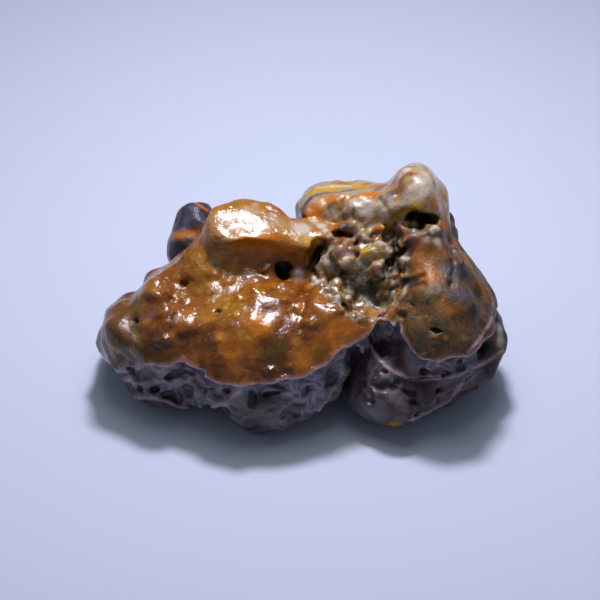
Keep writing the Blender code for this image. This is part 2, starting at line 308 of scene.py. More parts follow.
@dataclass(frozen=True)
class Hide:
    """Low relief of the skin: soft dimples above the lip, pores and wrinkles below it."""

    polish: tuple[Ripple, ...] = (Ripple(41, 9, 1.7, 3.4, 0.075), Ripple(43, 9, 0.9, 1.5, 0.022))
    facet_calm: float = 0.50
    facet_range: Span = (-0.9, -0.1)
    wrinkle: Ripple = Ripple(53, 9, 1.4, 3.0, 0.07)
    pore_depth: float = 0.26
    lace_height: float = 0.15
    lobe_calm: float = 0.6
    swirl: Ripple = Ripple(61, 5, 1.6, 4.0, 0.35)
    net: Cells = Cells((2.5, 2.5, 1.45), 51)
    patches: Ripple = Ripple(55, 5, 4.0, 8.0)
    patch_range: Span = (-0.7, 0.4)
    pore_range: Span = (0.12, 0.50)
    lace_width: float = 0.13
    least: float = 0.01

    def depth(self, points: np.ndarray, facet: np.ndarray, under: np.ndarray,
              lobe: np.ndarray) -> np.ndarray:
        """How far the skin is let in.

        Args:
            points: places in the stone's frame.
            facet: how far they stand out of the flat top of the brow.
            under: 0 on the polished upper skin, 1 on the wall and the lobes.
            lobe: 0 on the wall, 1 on the smoother lobes.

        Returns:
            Depths in millimetres.
        """
        calm = 1.0 - self.facet_calm * smooth(facet, *self.facet_range)
        relief = (1.0 - under) * sum(ripple.height(points) for ripple in self.polish) * calm
        low = under > self.least
        pore, lace = self.lace(points[low])
        rough = (self.pore_depth * pore - self.lace_height * lace) * (1.0 - self.lobe_calm * lobe[low])
        relief[low] += under[low] * (rough + self.wrinkle.height(points[low]))
        return relief

    def lace(self, points: np.ndarray) -> tuple[np.ndarray, np.ndarray]:
        """Pores and the net of thin ridges between them, in patches, each 0 to 1."""
        near, second = self.net.pair(points + self.swirl.shift(points))
        patch = smooth(self.patches.height(points), *self.patch_range)
        ridge = np.exp(-((second - near) / self.lace_width) ** 2)
        return patch * (1.0 - smooth(near, *self.pore_range)), patch * ridge


@dataclass(frozen=True)
class StoneForm:
    """The whole nodule as one signed distance, with the groups that it is blended from."""

    slab: tuple[Lump, ...] = (
        Lump("front", (-4.4, 0.3, 6.0), (14.0, 11.2, 8.8)),
        Lump("shelf", (4.4, -0.6, 8.8), (6.4, 7.0, 6.4), blend=2.0),
        Lump("shoulder", (-15.0, 0.5, 7.4), (5.2, 8.4, 6.3), blend=1.5),
        Lump("left lobe", (-20.1, 1.7, 6.4), (3.2, 4.5, 6.7), (LEAN, 0, 0), 2.2),
        Lump("knob", (-16.3, 2.6, 11.9), (2.2, 1.6, 4.5), (LEAN, 0, 0), 2.0),
        Lump("left ridge", (-10.9, 5.8, 13.4), (4.6, 2.6, 4.6), (LEAN, 0, 35), 3.0),
    )
    brow: tuple[Lump, ...] = (
        Lump("hump", (-6.1, 6.2, 15.6), (5.2, 4.6, 6.2)),
        Lump("arm", (1.0, 5.5, 16.4), (5.0, 2.6, 4.2), (0, 0, -6), 0.8),
    )
    fin: tuple[Lump, ...] = (
        Lump("flake", (-12.3, 9.5, 12.8), (3.2, 5.2, 2.8), (LEAN, 0, 0)),
    )
    mass: tuple[Lump, ...] = (
        Lump("right mass", (14.8, 0.6, 9.0), (7.3, 9.4, 9.4)),
    )
    snout: tuple[Lump, ...] = (
        Lump("snout", (12.9, 10.3, 18.9), (3.4, 4.2, 7.0), (LEAN, 0, 0), 1.2),
        Lump("snout root", (9.9, 10.6, 17.7), (4.2, 2.7, 6.5), (LEAN, 0, 0), 1.0),
    )
    chin: tuple[Lump, ...] = (
        Lump("chin", (13.8, 6.8, 15.0), (3.2, 4.2, 7.2), (LEAN, 0, 0), 2.0),
    )
    band: tuple[Lump, ...] = (
        Lump("back band", (5.8, 13.1, 16.0), (4.4, 2.6, 6.0), (LEAN, 0, 0), 0.8),
        Lump("band end", (2.1, 12.6, 15.5), (2.6, 2.9, 5.5), (LEAN, 0, 0), 0.8),
    )
    floor: tuple[Lump, ...] = (
        Lump("hollow floor", (7.0, 7.3, 11.8), (6.0, 6.6, 8.0), (LEAN, 0, 0), 1.0),
    )
    feet: tuple[Lump, ...] = (
        Lump("right foot", (10.3, -4.3, 4.2), (5.6, 5.0, 4.5)),
        Lump("foot bridge", (14.4, -2.6, 5.2), (4.8, 4.6, 4.3), blend=1.5),
        Lump("right flank", (16.0, 0.6, 6.3), (7.4, 7.0, 6.0), blend=1.5),
        Lump("middle foot", (-4.3, -5.6, 4.2), (6.0, 4.7, 4.5), blend=1.2),
        Lump("left foot", (-15.3, -2.2, 3.3), (5.4, 4.2, 3.0), blend=0.8),
        Lump("left back", (-6.5, 5.0, 7.2), (10.5, 7.0, 7.0), blend=2.0),
        Lump("right back", (9.0, 4.6, 8.0), (9.5, 8.0, 8.3), blend=2.0),
        Lump("back rise", (10.5, 10.5, 12.5), (7.5, 5.5, 6.5), blend=2.0),
        Lump("back fill", (-1.0, 8.0, 11.0), (7.5, 5.0, 6.0), blend=2.0),
    )
    recess: Lump = Lump("brow recess", (-4.0, 0.6, 17.4), (9.5, 3.3, 2.8), (8, 0, 0), 0.15)
    cleft: Groove = Groove("cleft", ((10.5, -4.5, 14.5), (10.2, -7.9, 12.9)), (0.7, 1.6), 0.5)
    mouth: Lump = Lump("mouth", (12.9, 2.1, 23.2), (2.9, 1.3, 6.5), (LEAN, 0, 0), 0.25)
    tunnels: tuple[Groove, ...] = (
        Groove("hole", ((-2.2, -1.9, 18.9), (-2.0, 5.2, 13.3)), (1.1, 1.0), 0.25),
        Groove("cave", ((1.2, -1.0, 18.4), (1.1, 2.9, 16.6), (1.8, 3.6, 17.5), (3.1, 3.2, 18.5)),
               (1.0, 1.3, 1.3, 0.8), 0.3),
        Groove("mouth corner", ((11.6, 2.9, 22.6), (9.7, 3.0, 21.2)), (0.8, 0.4), 0.3),
        Groove("wall pocket", ((-17.9, -8.5, 7.7), (-13.8, -9.7, 7.9), (-13.2, -10.1, 6.7)),
               (0.6, 1.4, 0.8), 0.5),
        Groove("end pocket", ((3.9, -8.6, 9.9), (2.6, -9.7, 9.4)), (0.8, 0.5), 0.3),
        Groove("upper slot", ((3.8, 4.1, 19.5), (5.6, 4.0, 19.4)), (0.3, 0.5), 0.3),
        Groove("middle slot", ((11.7, 1.1, 19.2), (10.0, 0.6, 17.9), (9.3, 0.7, 17.2)), (0.5, 0.9, 0.5)),
        Groove("lower slot", ((12.7, -2.2, 17.7), (10.8, -2.0, 17.2), (9.7, -2.8, 15.6)), (0.5, 0.8, 0.5)),
        Groove("lip pocket", ((-14.6, -8.8, 11.1), (-13.3, -8.4, 10.8)), (0.45, 0.5), 0.3),
        Groove("lip corner", ((-11.1, -9.7, 10.9), (-10.6, -9.3, 9.8)), (0.6, 0.5), 0.2),
    )
    lip: Profile = Profile((
        (-26, 2.6), (-22.6, 3.4), (-21.4, 4.6), (-19.8, 6.2), (-18.4, 8.0), (-16.8, 9.9), (-13, 10.3),
        (-11.2, 9.9), (-10, 9.4), (-8, 9.4), (-4, 9.7), (0.5, 9.7), (2.6, 10.6), (4, 11.8), (6, 12.4),
        (8.5, 13.2), (10.6, 13.4), (11.6, 12.4), (13, 11.8), (18, 11.8), (26, 11.4)))
    wall_end: Profile = Profile((
        (-26, 3.4), (-19, 4.0), (-17.3, 4.5), (-15.4, 4.0), (-13.8, 3.0), (-12, 3.2), (-10.6, 4.2),
        (-8, 5.4), (-6, 5.0), (0, 4.0), (2, 4.2), (4, 5.5), (5.5, 9.0), (8, 9.6), (9.5, 8.8),
        (11, 8.4), (26, 8.4)))
    lip_fall: float = 8.5
    lip_fall_start: float = 1.0
    lip_fall_run: float = 6.0
    lip_edge: float = 0.3
    lip_step: float = 0.75
    flare: float = 0.50
    flare_height: float = 0.9
    wall_edge: float = 0.2
    bead: float = 0.16
    bead_rise: float = 0.25
    bead_width: float = 0.28
    bead_front: Span = (-3.0, -1.0)
    brow_flat: Flat = Flat((-4.0, 4.3, 19.2), (0.10, -0.20, 0.97), 0.5)
    brow_join: float = 1.0
    fin_flat: Flat = Flat((-13.8, 9.3, 16.0), (-0.10, -0.86, 0.50), 0.3)
    fin_join: float = 0.4
    right_join: float = 0.8
    wall_join: float = 0.3
    feet_join: float = 0.6
    pitted: Lump = Lump("pitted hollow", (6.7, 1.5, 15.9), (6.2, 6.6, 6.5), (LEAN, 0, 0))
    pitted_edge: float = 1.8
    pebbles: Pebbles = Pebbles(Cells((2.3, 2.3, 2.3), 5), 0.42, 1.9)
    grains: Pebbles = Pebbles(Cells((1.15, 1.15, 1.15), 9), 0.45, 0.75)
    bends: tuple[Ripple, ...] = (Ripple(11, 5, 7.0, 14.0, 0.30), Ripple(21, 7, 2.8, 5.5, 0.19))
    under_range: Span = (-0.1, 0.4)
    lobe_range: Span = (-0.3, 0.5)
    hide: Hide = Hide()

    def bend(self, points: np.ndarray) -> np.ndarray:
        """Shift points by two sets of waves per axis, so that no lump is a true ellipsoid."""
        return points + sum(ripple.shift(points) for ripple in self.bends)

    def pitted_weight(self, points: np.ndarray) -> np.ndarray:
        """1 well inside the pitted hollow, 0 outside it."""
        return smooth(-self.pitted.distance(points), 0.0, self.pitted_edge)

    def lip_height(self, points: np.ndarray) -> np.ndarray:
        """Height of the sharp lip, sinking by the square of the way behind the front."""
        back = np.clip((points[..., 1] - self.lip_fall_start) / self.lip_fall_run, 0.0, 1.0) ** 2
        return self.lip.height(points[..., 0]) - self.lip_fall * back

    def right(self, points: np.ndarray) -> np.ndarray:
        """The right-hand masses in the order in which they flow into each other."""
        return blend(points, self.mass + self.snout + self.chin + self.band + self.floor)

    def upper(self, points: np.ndarray) -> np.ndarray:
        """Slab, brow, fin and right-hand masses before the lip is cut.

        Args:
            points: bent points.

        Returns:
            Distances.
        """
        form = join(blend(points, self.slab), self.brow_flat.cut(blend(points, self.brow), points),
                    self.brow_join)
        form = join(form, self.fin_flat.cut(blend(points, self.fin), points), self.fin_join)
        form = join(form, self.right(points), self.right_join) + self.pitted_relief(points)
        form = carve(form, self.recess.distance(points), self.recess.blend)
        return carve(form, self.cleft.distance(points), self.cleft.edge)

    def pitted_relief(self, points: np.ndarray) -> np.ndarray:
        """Pebbly lumps and pits: the distance to scattered points, in two sizes.

        Args:
            points: bent points.

        Returns:
            How far the pitted hollow is let in, 0 outside it.
        """
        relief = np.zeros(points.shape[:-1])
        weight = self.pitted_weight(points)
        on = weight > 0.0
        relief[on] = weight[on] * (self.pebbles.depth_at(points[on]) + self.grains.depth_at(points[on]))
        return relief

    def parts(self, points: np.ndarray) -> tuple[np.ndarray, ...]:
        """Bent points, then the distances to the upper masses, to the wall and to the lobes.

        Args:
            points: places in the stone's frame.

        Returns:
            The bent points and the three distances.
        """
        bent = self.bend(points)
        lip = self.lip_height(bent)
        upper = carve(self.upper(bent), bent[..., 2] - lip, self.lip_edge)
        footprint = bent.copy()
        footprint[..., 2] = np.maximum(bent[..., 2], lip + self.lip_edge)
        end = self.wall_end.height(bent[..., 0])
        step = self.lip_step - self.flare * np.exp(-np.abs(bent[..., 2] - end) / self.flare_height)
        wall = carve(self.upper(footprint) + step, bent[..., 2] - end, self.wall_edge)
        return bent, upper, wall, blend(bent, self.feet)

    def distance(self, points: np.ndarray) -> np.ndarray:
        """Signed distance to the nodule, its feet not yet trimmed at the ground.

        Args:
            points: places in the stone's frame.

        Returns:
            Distances.
        """
        bent, upper, wall, feet = self.parts(points)
        form = join(join(upper, wall, self.wall_join), feet, self.feet_join)
        under = smooth(upper - np.minimum(wall, feet), *self.under_range)
        facet = self.brow_flat.above(bent)
        form = form + self.hide.depth(points, facet, under, smooth(wall - feet, *self.lobe_range))
        rise = bent[..., 2] - self.lip_height(bent)
        front = smooth(-bent[..., 1], *self.bead_front)
        form = form - self.bead * front * np.exp(-((rise - self.bead_rise) / self.bead_width) ** 2)
        form = carve(form, self.mouth.distance(bent), self.mouth.blend)
        for groove in self.tunnels:
            form = carve(form, groove.distance(bent), groove.edge)
        return form


# ---------------------------------------------------------------- relief of the show face

def smooth_path(path: np.ndarray, step: float = 0.35) -> np.ndarray:
    """Points at even steps along a path, its corners softened by a short moving average.

    Args:
        path: corners of the path.
        step: length of a step.

    Returns:
        The points, the two ends where they were.
    """
    lengths = np.linalg.norm(np.diff(path, axis=0), axis=1)
    along = np.concatenate([[0.0], np.cumsum(lengths)])
    at = np.linspace(0.0, along[-1], max(3, int(along[-1] / step) + 1))
    fine = np.stack([np.interp(at, along, path[:, a]) for a in range(path.shape[1])], -1)
    for _ in range(2):
        fine[1:-1] = (fine[:-2] + 2.0 * fine[1:-1] + fine[2:]) / 4.0
    return fine


def line_along(path: np.ndarray, radius: float) -> Groove:
    """A rounded line of one radius through places on the skin."""
    return Groove("line", tuple(tuple(place) for place in path), (radius,) * len(path))


@dataclass(frozen=True)
class Sight:
    """Lines from one eye through the leaning show face, to find the skin behind a spot of it.

    A spot is given by how far across and how far up the face it is, from the face's middle.
    """

    middle: Vec3 = (-0.2, 0.56, 12.58)
    gap: float = 200.0
    start: float = 165.0
    steps: int = 36
    stride: float = 0.85

    def axes(self) -> np.ndarray:
        """Columns across, up and out of the face."""
        return rotation((LEAN, 0.0, 0.0))

    def meet(self, work: Field, spots: np.ndarray) -> np.ndarray:
        """Walk in from the eye by the distance still to go, until the skin is met.

        Args:
            work: signed distance to the stone.
            spots: (n, 2) places across and up the face.

        Returns:
            (n, 3) places on the skin.
        """
        axes = self.axes()
        eye = np.array(self.middle) + axes[:, 2] * self.gap
        way = np.array(self.middle) + spots @ axes[:, :2].T - eye
        way /= np.linalg.norm(way, axis=1)[:, None]
        gone = np.full(len(spots), self.start)
        for _ in range(self.steps):
            gone += self.stride * work(eye + way * gone[:, None])
        return eye + way * gone[:, None]

    def lay(self, work: Field, paths: list[Line]) -> list[np.ndarray]:
        """Lay paths over the skin, each drawn with even steps.

        Args:
            work: signed distance to the stone.
            paths: places across and up the face, one run of them for each path.

        Returns:
            Places on the skin, one run for each path.
        """
        fine = [smooth_path(np.array(path)) for path in paths]
        skin = self.meet(work, np.concatenate(fine))
        return np.split(skin, np.cumsum([len(path) for path in fine])[:-1])


@dataclass(frozen=True)
class Knob:
    """A swelling of the show face, or a pit in it: an ellipsoid let into the skin by its sink."""

    name: str
    across: float
    up: float
    radii: Vec3
    sink: float
    turn: float = 0.0
    blend: float = 0.3


@dataclass(frozen=True)
class Vein:
    """A raised seam, or a crease, along a path over the show face."""

    name: str
    path: Line
    radius: float


@dataclass
class Placed:
    """A knob or a vein at its place in the stone, worked out only for the points near it."""

    out: bool
    blend: float
    middle: np.ndarray
    half: np.ndarray
    shape: Field

    def apply(self, value: np.ndarray, points: np.ndarray) -> None:
        """Join the shape to the stone, or carve it out, in place."""
        inside = (np.abs(points - self.middle) < self.half).all(1)
        gap = self.shape(points[inside])
        merge = join if self.out else carve
        value[inside] = merge(value[inside], gap, self.blend)


@dataclass
class Pile:
    """Placed shapes in their order, with a quick choice of those that are near some points."""

    wobble: Ripple = Ripple(71, 5, 0.9, 2.0, 0.10)
    items: list[Placed] = field(default_factory=list)

    def apply(self, value: np.ndarray, points: np.ndarray) -> np.ndarray:
        """Add every shape near the points, a little bent so that none is a true ellipsoid.

        Args:
            value: distances to the stone so far.
            points: where they were taken.

        Returns:
            Distances with the shapes.
        """
        if not self.items:
            return value
        low, high = points.min(0), points.max(0)
        middle = np.array([item.middle for item in self.items])
        half = np.array([item.half for item in self.items])
        close = ((middle + half > low) & (middle - half < high)).all(1)
        if close.any():
            bent = points + self.wobble.shift(points)
            for number in np.flatnonzero(close):
                self.items[number].apply(value, bent)
        return value


@dataclass(frozen=True)
class Relief:
    """Everything placed one by one on the show face."""

    swellings: tuple[Knob, ...] = (
        Knob("brow shoulder glint", -8.8, 5.5, (1, 0.8, 0.8), 0.55, 0, 0.6),
        Knob("brow foot glint", -7.2, 4.8, (0.7, 0.5, 0.6), 0.42, 0, 0.5),
        Knob("upper slope glint", -8.1, 1.9, (0.9, 0.9, 0.8), 0.55, 0, 0.6),
        Knob("upper slope pip", -9.3, 2.8, (0.5, 0.5, 0.5), 0.35, 0, 0.4),
        Knob("ridge crown", -16.2, 1.8, (0.9, 0.7, 0.8), 0.55, 0, 0.6),
        Knob("ridge pip", -13.8, -0.1, (0.4, 0.4, 0.4), 0.28, 0, 0.3),
        Knob("ridge swelling", -15.6, -1.6, (1.2, 0.7, 0.8), 0.55, 30, 0.6),
        Knob("ridge side pip", -14.7, -2.7, (0.6, 0.4, 0.5), 0.35, 20, 0.4),
        Knob("long swelling", -12.9, -3.5, (1.7, 0.6, 0.7), 0.48, 18, 0.5),
        Knob("long swelling end", -15.4, -4.6, (1, 0.5, 0.6), 0.42, 20, 0.5),
        Knob("low pip", -11.5, -3.3, (0.6, 0.6, 0.6), 0.42, 0, 0.4),
        Knob("gold window rim", -7.0, 0.1, (0.7, 0.6, 0.6), 0.42, 0, 0.4),
        Knob("gold window pip", -8.5, -0.1, (0.5, 0.4, 0.5), 0.36, 0, 0.4),
        Knob("hole left lobe", -3.9, 3.5, (0.8, 0.5, 0.7), 0.35, 20, 0.3),
        Knob("hole lower lobe", -4.7, 2.1, (0.7, 0.45, 0.6), 0.38, 0, 0.35),
        Knob("under hole swelling", -2.0, 1.3, (1.1, 0.7, 0.8), 0.58, 0, 0.6),
        Knob("middle drop", -5.1, 0.8, (0.4, 0.6, 0.5), 0.35, 0, 0.4),
        Knob("cluster one", -1.7, -0.3, (0.8, 0.7, 0.7), 0.46, 0, 0.4),
        Knob("cluster two", -0.4, -1.2, (0.8, 1, 0.8), 0.52, 0, 0.4),
        Knob("cluster three", 1.3, -2.8, (1.3, 0.8, 0.8), 0.5, 10, 0.4),
        Knob("cluster four", 0.6, -1.7, (0.5, 0.5, 0.5), 0.33, 0, 0.3),
        Knob("cluster five", 4.3, 0.1, (0.6, 0.9, 0.7), 0.46, -20, 0.4),
        Knob("cluster six", 4.0, -1.5, (1.1, 0.6, 0.7), 0.46, 25, 0.4),
        Knob("cluster seven", 5.8, -1.9, (0.9, 0.6, 0.7), 0.46, 0, 0.4),
        Knob("cluster eight", 7.3, -1.3, (0.7, 0.5, 0.6), 0.4, 0, 0.4),
        Knob("rim sparkle one", -3.5, -8.0, (0.6, 0.4, 0.5), 0.36, 20, 0.3),
        Knob("rim sparkle two", -1.1, -7.4, (0.7, 0.4, 0.5), 0.36, 10, 0.3),
        Knob("low middle swelling", -9.2, -4.5, (0.8, 0.6, 0.7), 0.52, 0, 0.5),
    )
    lumps: tuple[Knob, ...] = (
        Knob("orange swelling", 1.8, 10.1, (1.9, 1.5, 1.3), 0.7, 0, 0.9),
        Knob("band glint", 4.4, 10.9, (1.6, 1.1, 1.2), 0.65, 0, 0.9),
        Knob("pale olive swelling", 4.8, 9.3, (2, 1.4, 1.5), 0.6, 0, 0.8),
        Knob("tan swelling", 7.5, 10.1, (2.7, 2, 1.6), 1.0, 0, 1.1),
        Knob("ledge left", 5.7, 8.2, (1.7, 0.9, 1.5), 0.3, 10, 0.6),
        Knob("ledge middle", 7.6, 8, (1.9, 0.9, 1.6), 0.3, -5, 0.6),
        Knob("ledge right", 9.5, 8.7, (1.6, 1, 1.5), 0.4, 35, 0.6),
        Knob("snout cheek", 10.6, 10.5, (1.5, 1.7, 1.3), 1.05, 0, 1.1),
        Knob("grey bead", 4.7, 8.2, (0.8, 0.6, 0.8), 0.35, 20, 0.4),
        Knob("pink pebble", 7.4, 7, (1.1, 0.85, 1.1), 0.35, 0, 0.3),
        Knob("small pebble", 8.6, 6.6, (0.8, 0.6, 0.8), 0.3, 0, 0.3),
        Knob("olive tongue", 8, 5.4, (2.6, 1.1, 1.9), 0.3, 0, 0.4),
        Knob("glassy lump", 10.4, 6.4, (1.5, 1, 1.4), 0.4, 10, 0.4),
        Knob("glassy lump low", 9.9, 5.2, (1.1, 0.8, 1.3), 0.35, 0, 0.4),
        Knob("rose lump", 5.2, 6.2, (1.3, 1, 1.3), 0.35, -20, 0.4),
        Knob("rose lump low", 4.6, 5.2, (1, 1.1, 1.1), 0.35, 0, 0.4),
        Knob("tan lump", 5.8, 4.2, (1.4, 1, 1.2), 0.35, 10, 0.4),
        Knob("ochre lump", 7.2, 3, (1.4, 1.5, 1.3), 0.5, 0, 0.4),
        Knob("grey lump", 8.9, 3.7, (1.4, 1.2, 1.3), 0.45, 0, 0.4),
        Knob("olive lump", 9.4, 1.8, (0.7, 0.9, 0.9), 0.35, -10, 0.3),
        Knob("olive grain", 8.9, 0.7, (0.5, 0.45, 0.6), 0.2, 0, 0.2),
        Knob("grey grain", 9.9, 0.6, (0.45, 0.5, 0.6), 0.2, 0, 0.2),
        Knob("dark grain", 8.2, 1.3, (0.45, 0.4, 0.6), 0.15, 20, 0.2),
        Knob("cleft lump", 11.7, 4.3, (1, 0.6, 0.9), 0.4, 15, 0.4),
        Knob("cleft lump low", 10.8, 2.8, (0.9, 0.6, 0.8), 0.35, -30, 0.4),
        Knob("white bead", 1.8, 2.2, (0.75, 0.5, 0.7), 0.0, -35, 0.12),
        Knob("pale bead", -0.2, 3, (0.95, 0.8, 0.9), 0.25, 0, 0.3),
        Knob("cave wall", 3.2, 4.0, (1.3, 1.6, 1.5), 0.6, 0, 0.5),
        Knob("jaw rose", 11.5, 8.5, (1, 0.9, 1), 0.4, -30, 0.3),
        Knob("jaw tooth", 12.8, 8.3, (0.7, 0.9, 1), 0.3, 0, 0.2),
        Knob("jaw right", 14.7, 7.6, (1.3, 0.9, 1), 0.5, 20, 0.3),
        Knob("jaw middle", 12.9, 7.0, (1.4, 0.9, 1), 0.55, 10, 0.4),
        Knob("mass glint", 17.9, 4.0, (0.6, 0.5, 0.6), 0.4, 0, 0.3),
        Knob("mass sparkle", 12.2, 0.0, (0.4, 0.4, 0.4), 0.26, 0, 0.2),
        Knob("mass pip", 14.6, -2.5, (0.4, 0.4, 0.4), 0.27, 0, 0.2),
        Knob("crack lower lip", 15.1, -4.3, (0.9, 0.5, 0.7), 0.4, 0, 0.3),
        Knob("lower pip", 14.0, -6.2, (0.45, 0.35, 0.4), 0.26, 0, 0.2),
        Knob("right pip", 18.5, -4.5, (0.4, 0.4, 0.4), 0.27, 0, 0.2),
        Knob("snout crown", 13.2, 12.7, (1.2, 1.4, 1.1), 1.0, 0, 0.8),
    )
    pits: tuple[Knob, ...] = (
        Knob("throat", 13.9, 8.9, (0.95, 1.15, 2.6), 0.5, 0, 0.2),
        Knob("mouth roof", 13.4, 9.7, (1.6, 0.55, 1.8), 0.4, 0, 0.2),
        Knob("slot", 4.8, 7.4, (1.3, 0.35, 1.3), 0.3, -6, 0.2),
        Knob("gap one", 10.2, 4.2, (0.9, 0.6, 1.9), 0.3, 35, 0.25),
        Knob("gap two", 11.1, 5.2, (0.9, 0.45, 1.5), 0.3, 35, 0.2),
        Knob("gap three", 6.4, 5, (0.3, 0.5, 0.9), 0.1, 0, 0.2),
        Knob("gap four", 9.7, 3.4, (0.5, 0.7, 1.2), 0.2, 0, 0.25),
        Knob("gap five", 8.3, 7.2, (0.5, 0.3, 0.7), 0.1, 0, 0.2),
        Knob("gap six", 6.3, 6.3, (0.3, 0.4, 0.7), 0.1, 0, 0.2),
        Knob("gap seven", 1.8, 4.8, (0.5, 1.5, 1.3), 0.2, -28, 0.3),
        Knob("gap eight", 4.9, 3.1, (0.4, 0.3, 0.6), 0.1, 0, 0.2),
        Knob("gap nine", 8, 2.1, (0.35, 0.3, 0.5), 0.05, 0, 0.2),
        Knob("dark spot one", -13.1, 1.9, (0.45, 0.4, 0.5), 0.1, 0, 0.2),
        Knob("dark spot two", -9.2, -1.3, (0.4, 0.35, 0.45), 0.1, 0, 0.2),
        Knob("dark spot three", -14.5, 0.1, (0.3, 0.3, 0.3), 0.05, 0, 0.15),
        Knob("dark spot four", -18.4, -2.4, (0.35, 0.3, 0.35), 0.05, 0, 0.15),
        Knob("lip pocket middle", -12.9, -7.2, (0.5, 0.3, 0.5), 0.1, -20, 0.12),
        Knob("lip pocket right", -11.0, -8.1, (0.5, 0.45, 0.7), 0.15, -40, 0.12),
        Knob("left hollow", -14.4, -10.8, (1.3, 0.8, 1), 0, 0, 0.5),
        Knob("left hollow tip", -13.4, -11.5, (0.8, 0.5, 0.7), 0, -40, 0.4),
        Knob("wall pit one", -18.0, -9.9, (0.5, 0.35, 0.6), 0.1, -20, 0.27),
        Knob("wall pit two", -16.4, -10.1, (0.7, 0.35, 0.7), 0.1, 0, 0.27),
        Knob("wall pit three", -13.9, -8.5, (1.1, 0.45, 0.6), 0.1, 8, 0.32),
        Knob("wall pit four", -12.2, -8.1, (0.4, 0.35, 0.5), 0.1, 0, 0.27),
        Knob("wall pit five", -10.1, -9.8, (0.6, 0.25, 0.5), 0.1, 0, 0.24),
        Knob("wall pit six", -8.3, -10.3, (0.6, 0.35, 0.7), 0.1, 0, 0.27),
        Knob("wall pit seven", -10.7, -10.2, (0.5, 0.25, 0.5), 0.1, 20, 0.24),
        Knob("plate pit one", -5.3, -11.0, (0.5, 0.8, 0.6), 0.15, 10, 0.32),
        Knob("plate pit two", -3.8, -10.6, (0.5, 0.35, 0.5), 0.1, 0, 0.27),
        Knob("plate pit three", -2.7, -10.4, (0.6, 0.3, 0.5), 0.1, 10, 0.27),
        Knob("plate pit four", 0.9, -9.9, (0.3, 0.3, 0.4), 0.05, 0, 0.22),
        Knob("plate pocket", 3.5, -9, (1, 0.5, 0.8), 0.1, 35, 0.35),
        Knob("foot pit one", -1.8, -13.0, (0.5, 0.35, 0.4), 0.1, 0, 0.27),
        Knob("foot pit two", -0.4, -13.1, (0.4, 0.3, 0.4), 0.1, 0, 0.27),
        Knob("foot pit three", -5.4, -11.8, (0.4, 0.5, 0.4), 0.1, 0, 0.27),
        Knob("recess one", 9.3, -5.5, (0.9, 0.9, 1.3), 0.1, 0, 0.5),
        Knob("recess three", 6.0, -6.5, (0.9, 1.3, 1.4), 0.2, 0, 0.5),
        Knob("round hole", 13.9, -8.0, (0.5, 0.45, 1.3), 0.3, 0, 0.12),
        Knob("band pit one", 17.9, -6.9, (0.4, 0.3, 0.5), 0.1, 0, 0.24),
        Knob("band pit two", 16.5, -8.3, (0.8, 0.3, 0.6), 0.1, 15, 0.27),
        Knob("band pit three", 18.0, -7.6, (0.6, 0.35, 0.6), 0.1, 20, 0.27),
        Knob("right pocket", 20.4, -5.5, (0.7, 1.2, 1.1), 0.1, -25, 0.4),
        Knob("lower pit one", 9.0, -9.7, (1.1, 0.55, 0.8), 0.1, 0, 0.32),
        Knob("lower pit two", 10.4, -9.9, (0.6, 0.45, 0.7), 0.1, 0, 0.32),
        Knob("lower pit three", 11.0, -9.1, (0.35, 0.4, 0.5), 0.1, 0, 0.27),
        Knob("lower pit four", 12.2, -10.4, (0.9, 0.35, 0.6), 0.1, -15, 0.27),
        Knob("lower pit five", 12.9, -11.5, (0.7, 0.4, 0.6), 0.1, -10, 0.27),
        Knob("lower pit six", 7.9, -11.3, (0.6, 0.4, 0.5), 0.1, 0, 0.27),
        Knob("lower pit seven", 13.4, -12.7, (0.9, 0.35, 0.6), 0.1, 12, 0.27),
        Knob("lower pit eight", 15.7, -10.1, (0.7, 0.35, 0.5), 0.1, 10, 0.27),
        Knob("lower pit nine", 9.6, -8.0, (0.5, 0.3, 0.5), 0.1, 0, 0.27),
        Knob("edge slot", 18.8, -8.9, (0.9, 0.2, 0.6), 0.1, 35, 0.1),
        Knob("edge notch", 22.5, -7.0, (0.5, 0.35, 0.5), 0.1, 30, 0.15),
        Knob("mass crack", 15.3, -3.5, (0.8, 0.25, 0.7), 0.1, -8, 0.1),
        Knob("mass pit", 12.6, -0.6, (0.3, 0.25, 0.4), 0.05, 0, 0.1),
    )
    seams: tuple[Vein, ...] = (
        Vein("second lip left", (
            (-21.8, -7.9), (-20.7, -8.3), (-19.8, -10.2), (-18.5, -11.0), (-17.0, -11.0), (-15.3, -11.2),
            (-13.6, -12.1), (-10.6, -12.2), (-8.8, -11.6), (-6.7, -10.3)), 0.16),
        Vein("lobe lip", ((-21.8, -7.8), (-20.1, -8.1), (-19.0, -7.9)), 0.08),
        Vein("lace", ((-19.8, -9.0), (-18.0, -9.4), (-16.6, -9.1), (-15.1, -9.3), (-13.3, -8.8)), 0.12),
        Vein("plate end", ((4.8, -8.0), (4.3, -9.2), (3.0, -11.1), (2.1, -12.4)), 0.14),
        Vein("second lip right", (
            (8.0, -5.1), (8.4, -6.2), (9.4, -7.3), (10.9, -8.3), (12.4, -8.8), (14.4, -8.9), (16.6, -8.7),
            (18.1, -8.2), (19.6, -7.6), (21.6, -6.6), (22.9, -5.7)), 0.14),
        Vein("third lip", (
            (12.6, -13.5), (14.4, -12.6), (16.6, -11.5), (17.9, -9.9), (18.3, -9.3), (19.7, -8.4)), 0.12),
        Vein("cap end", ((21.7, -0.3), (21.5, -2.5), (20.2, -4.4), (19.0, -6.0), (18.3, -6.9)), 0.1),
    )
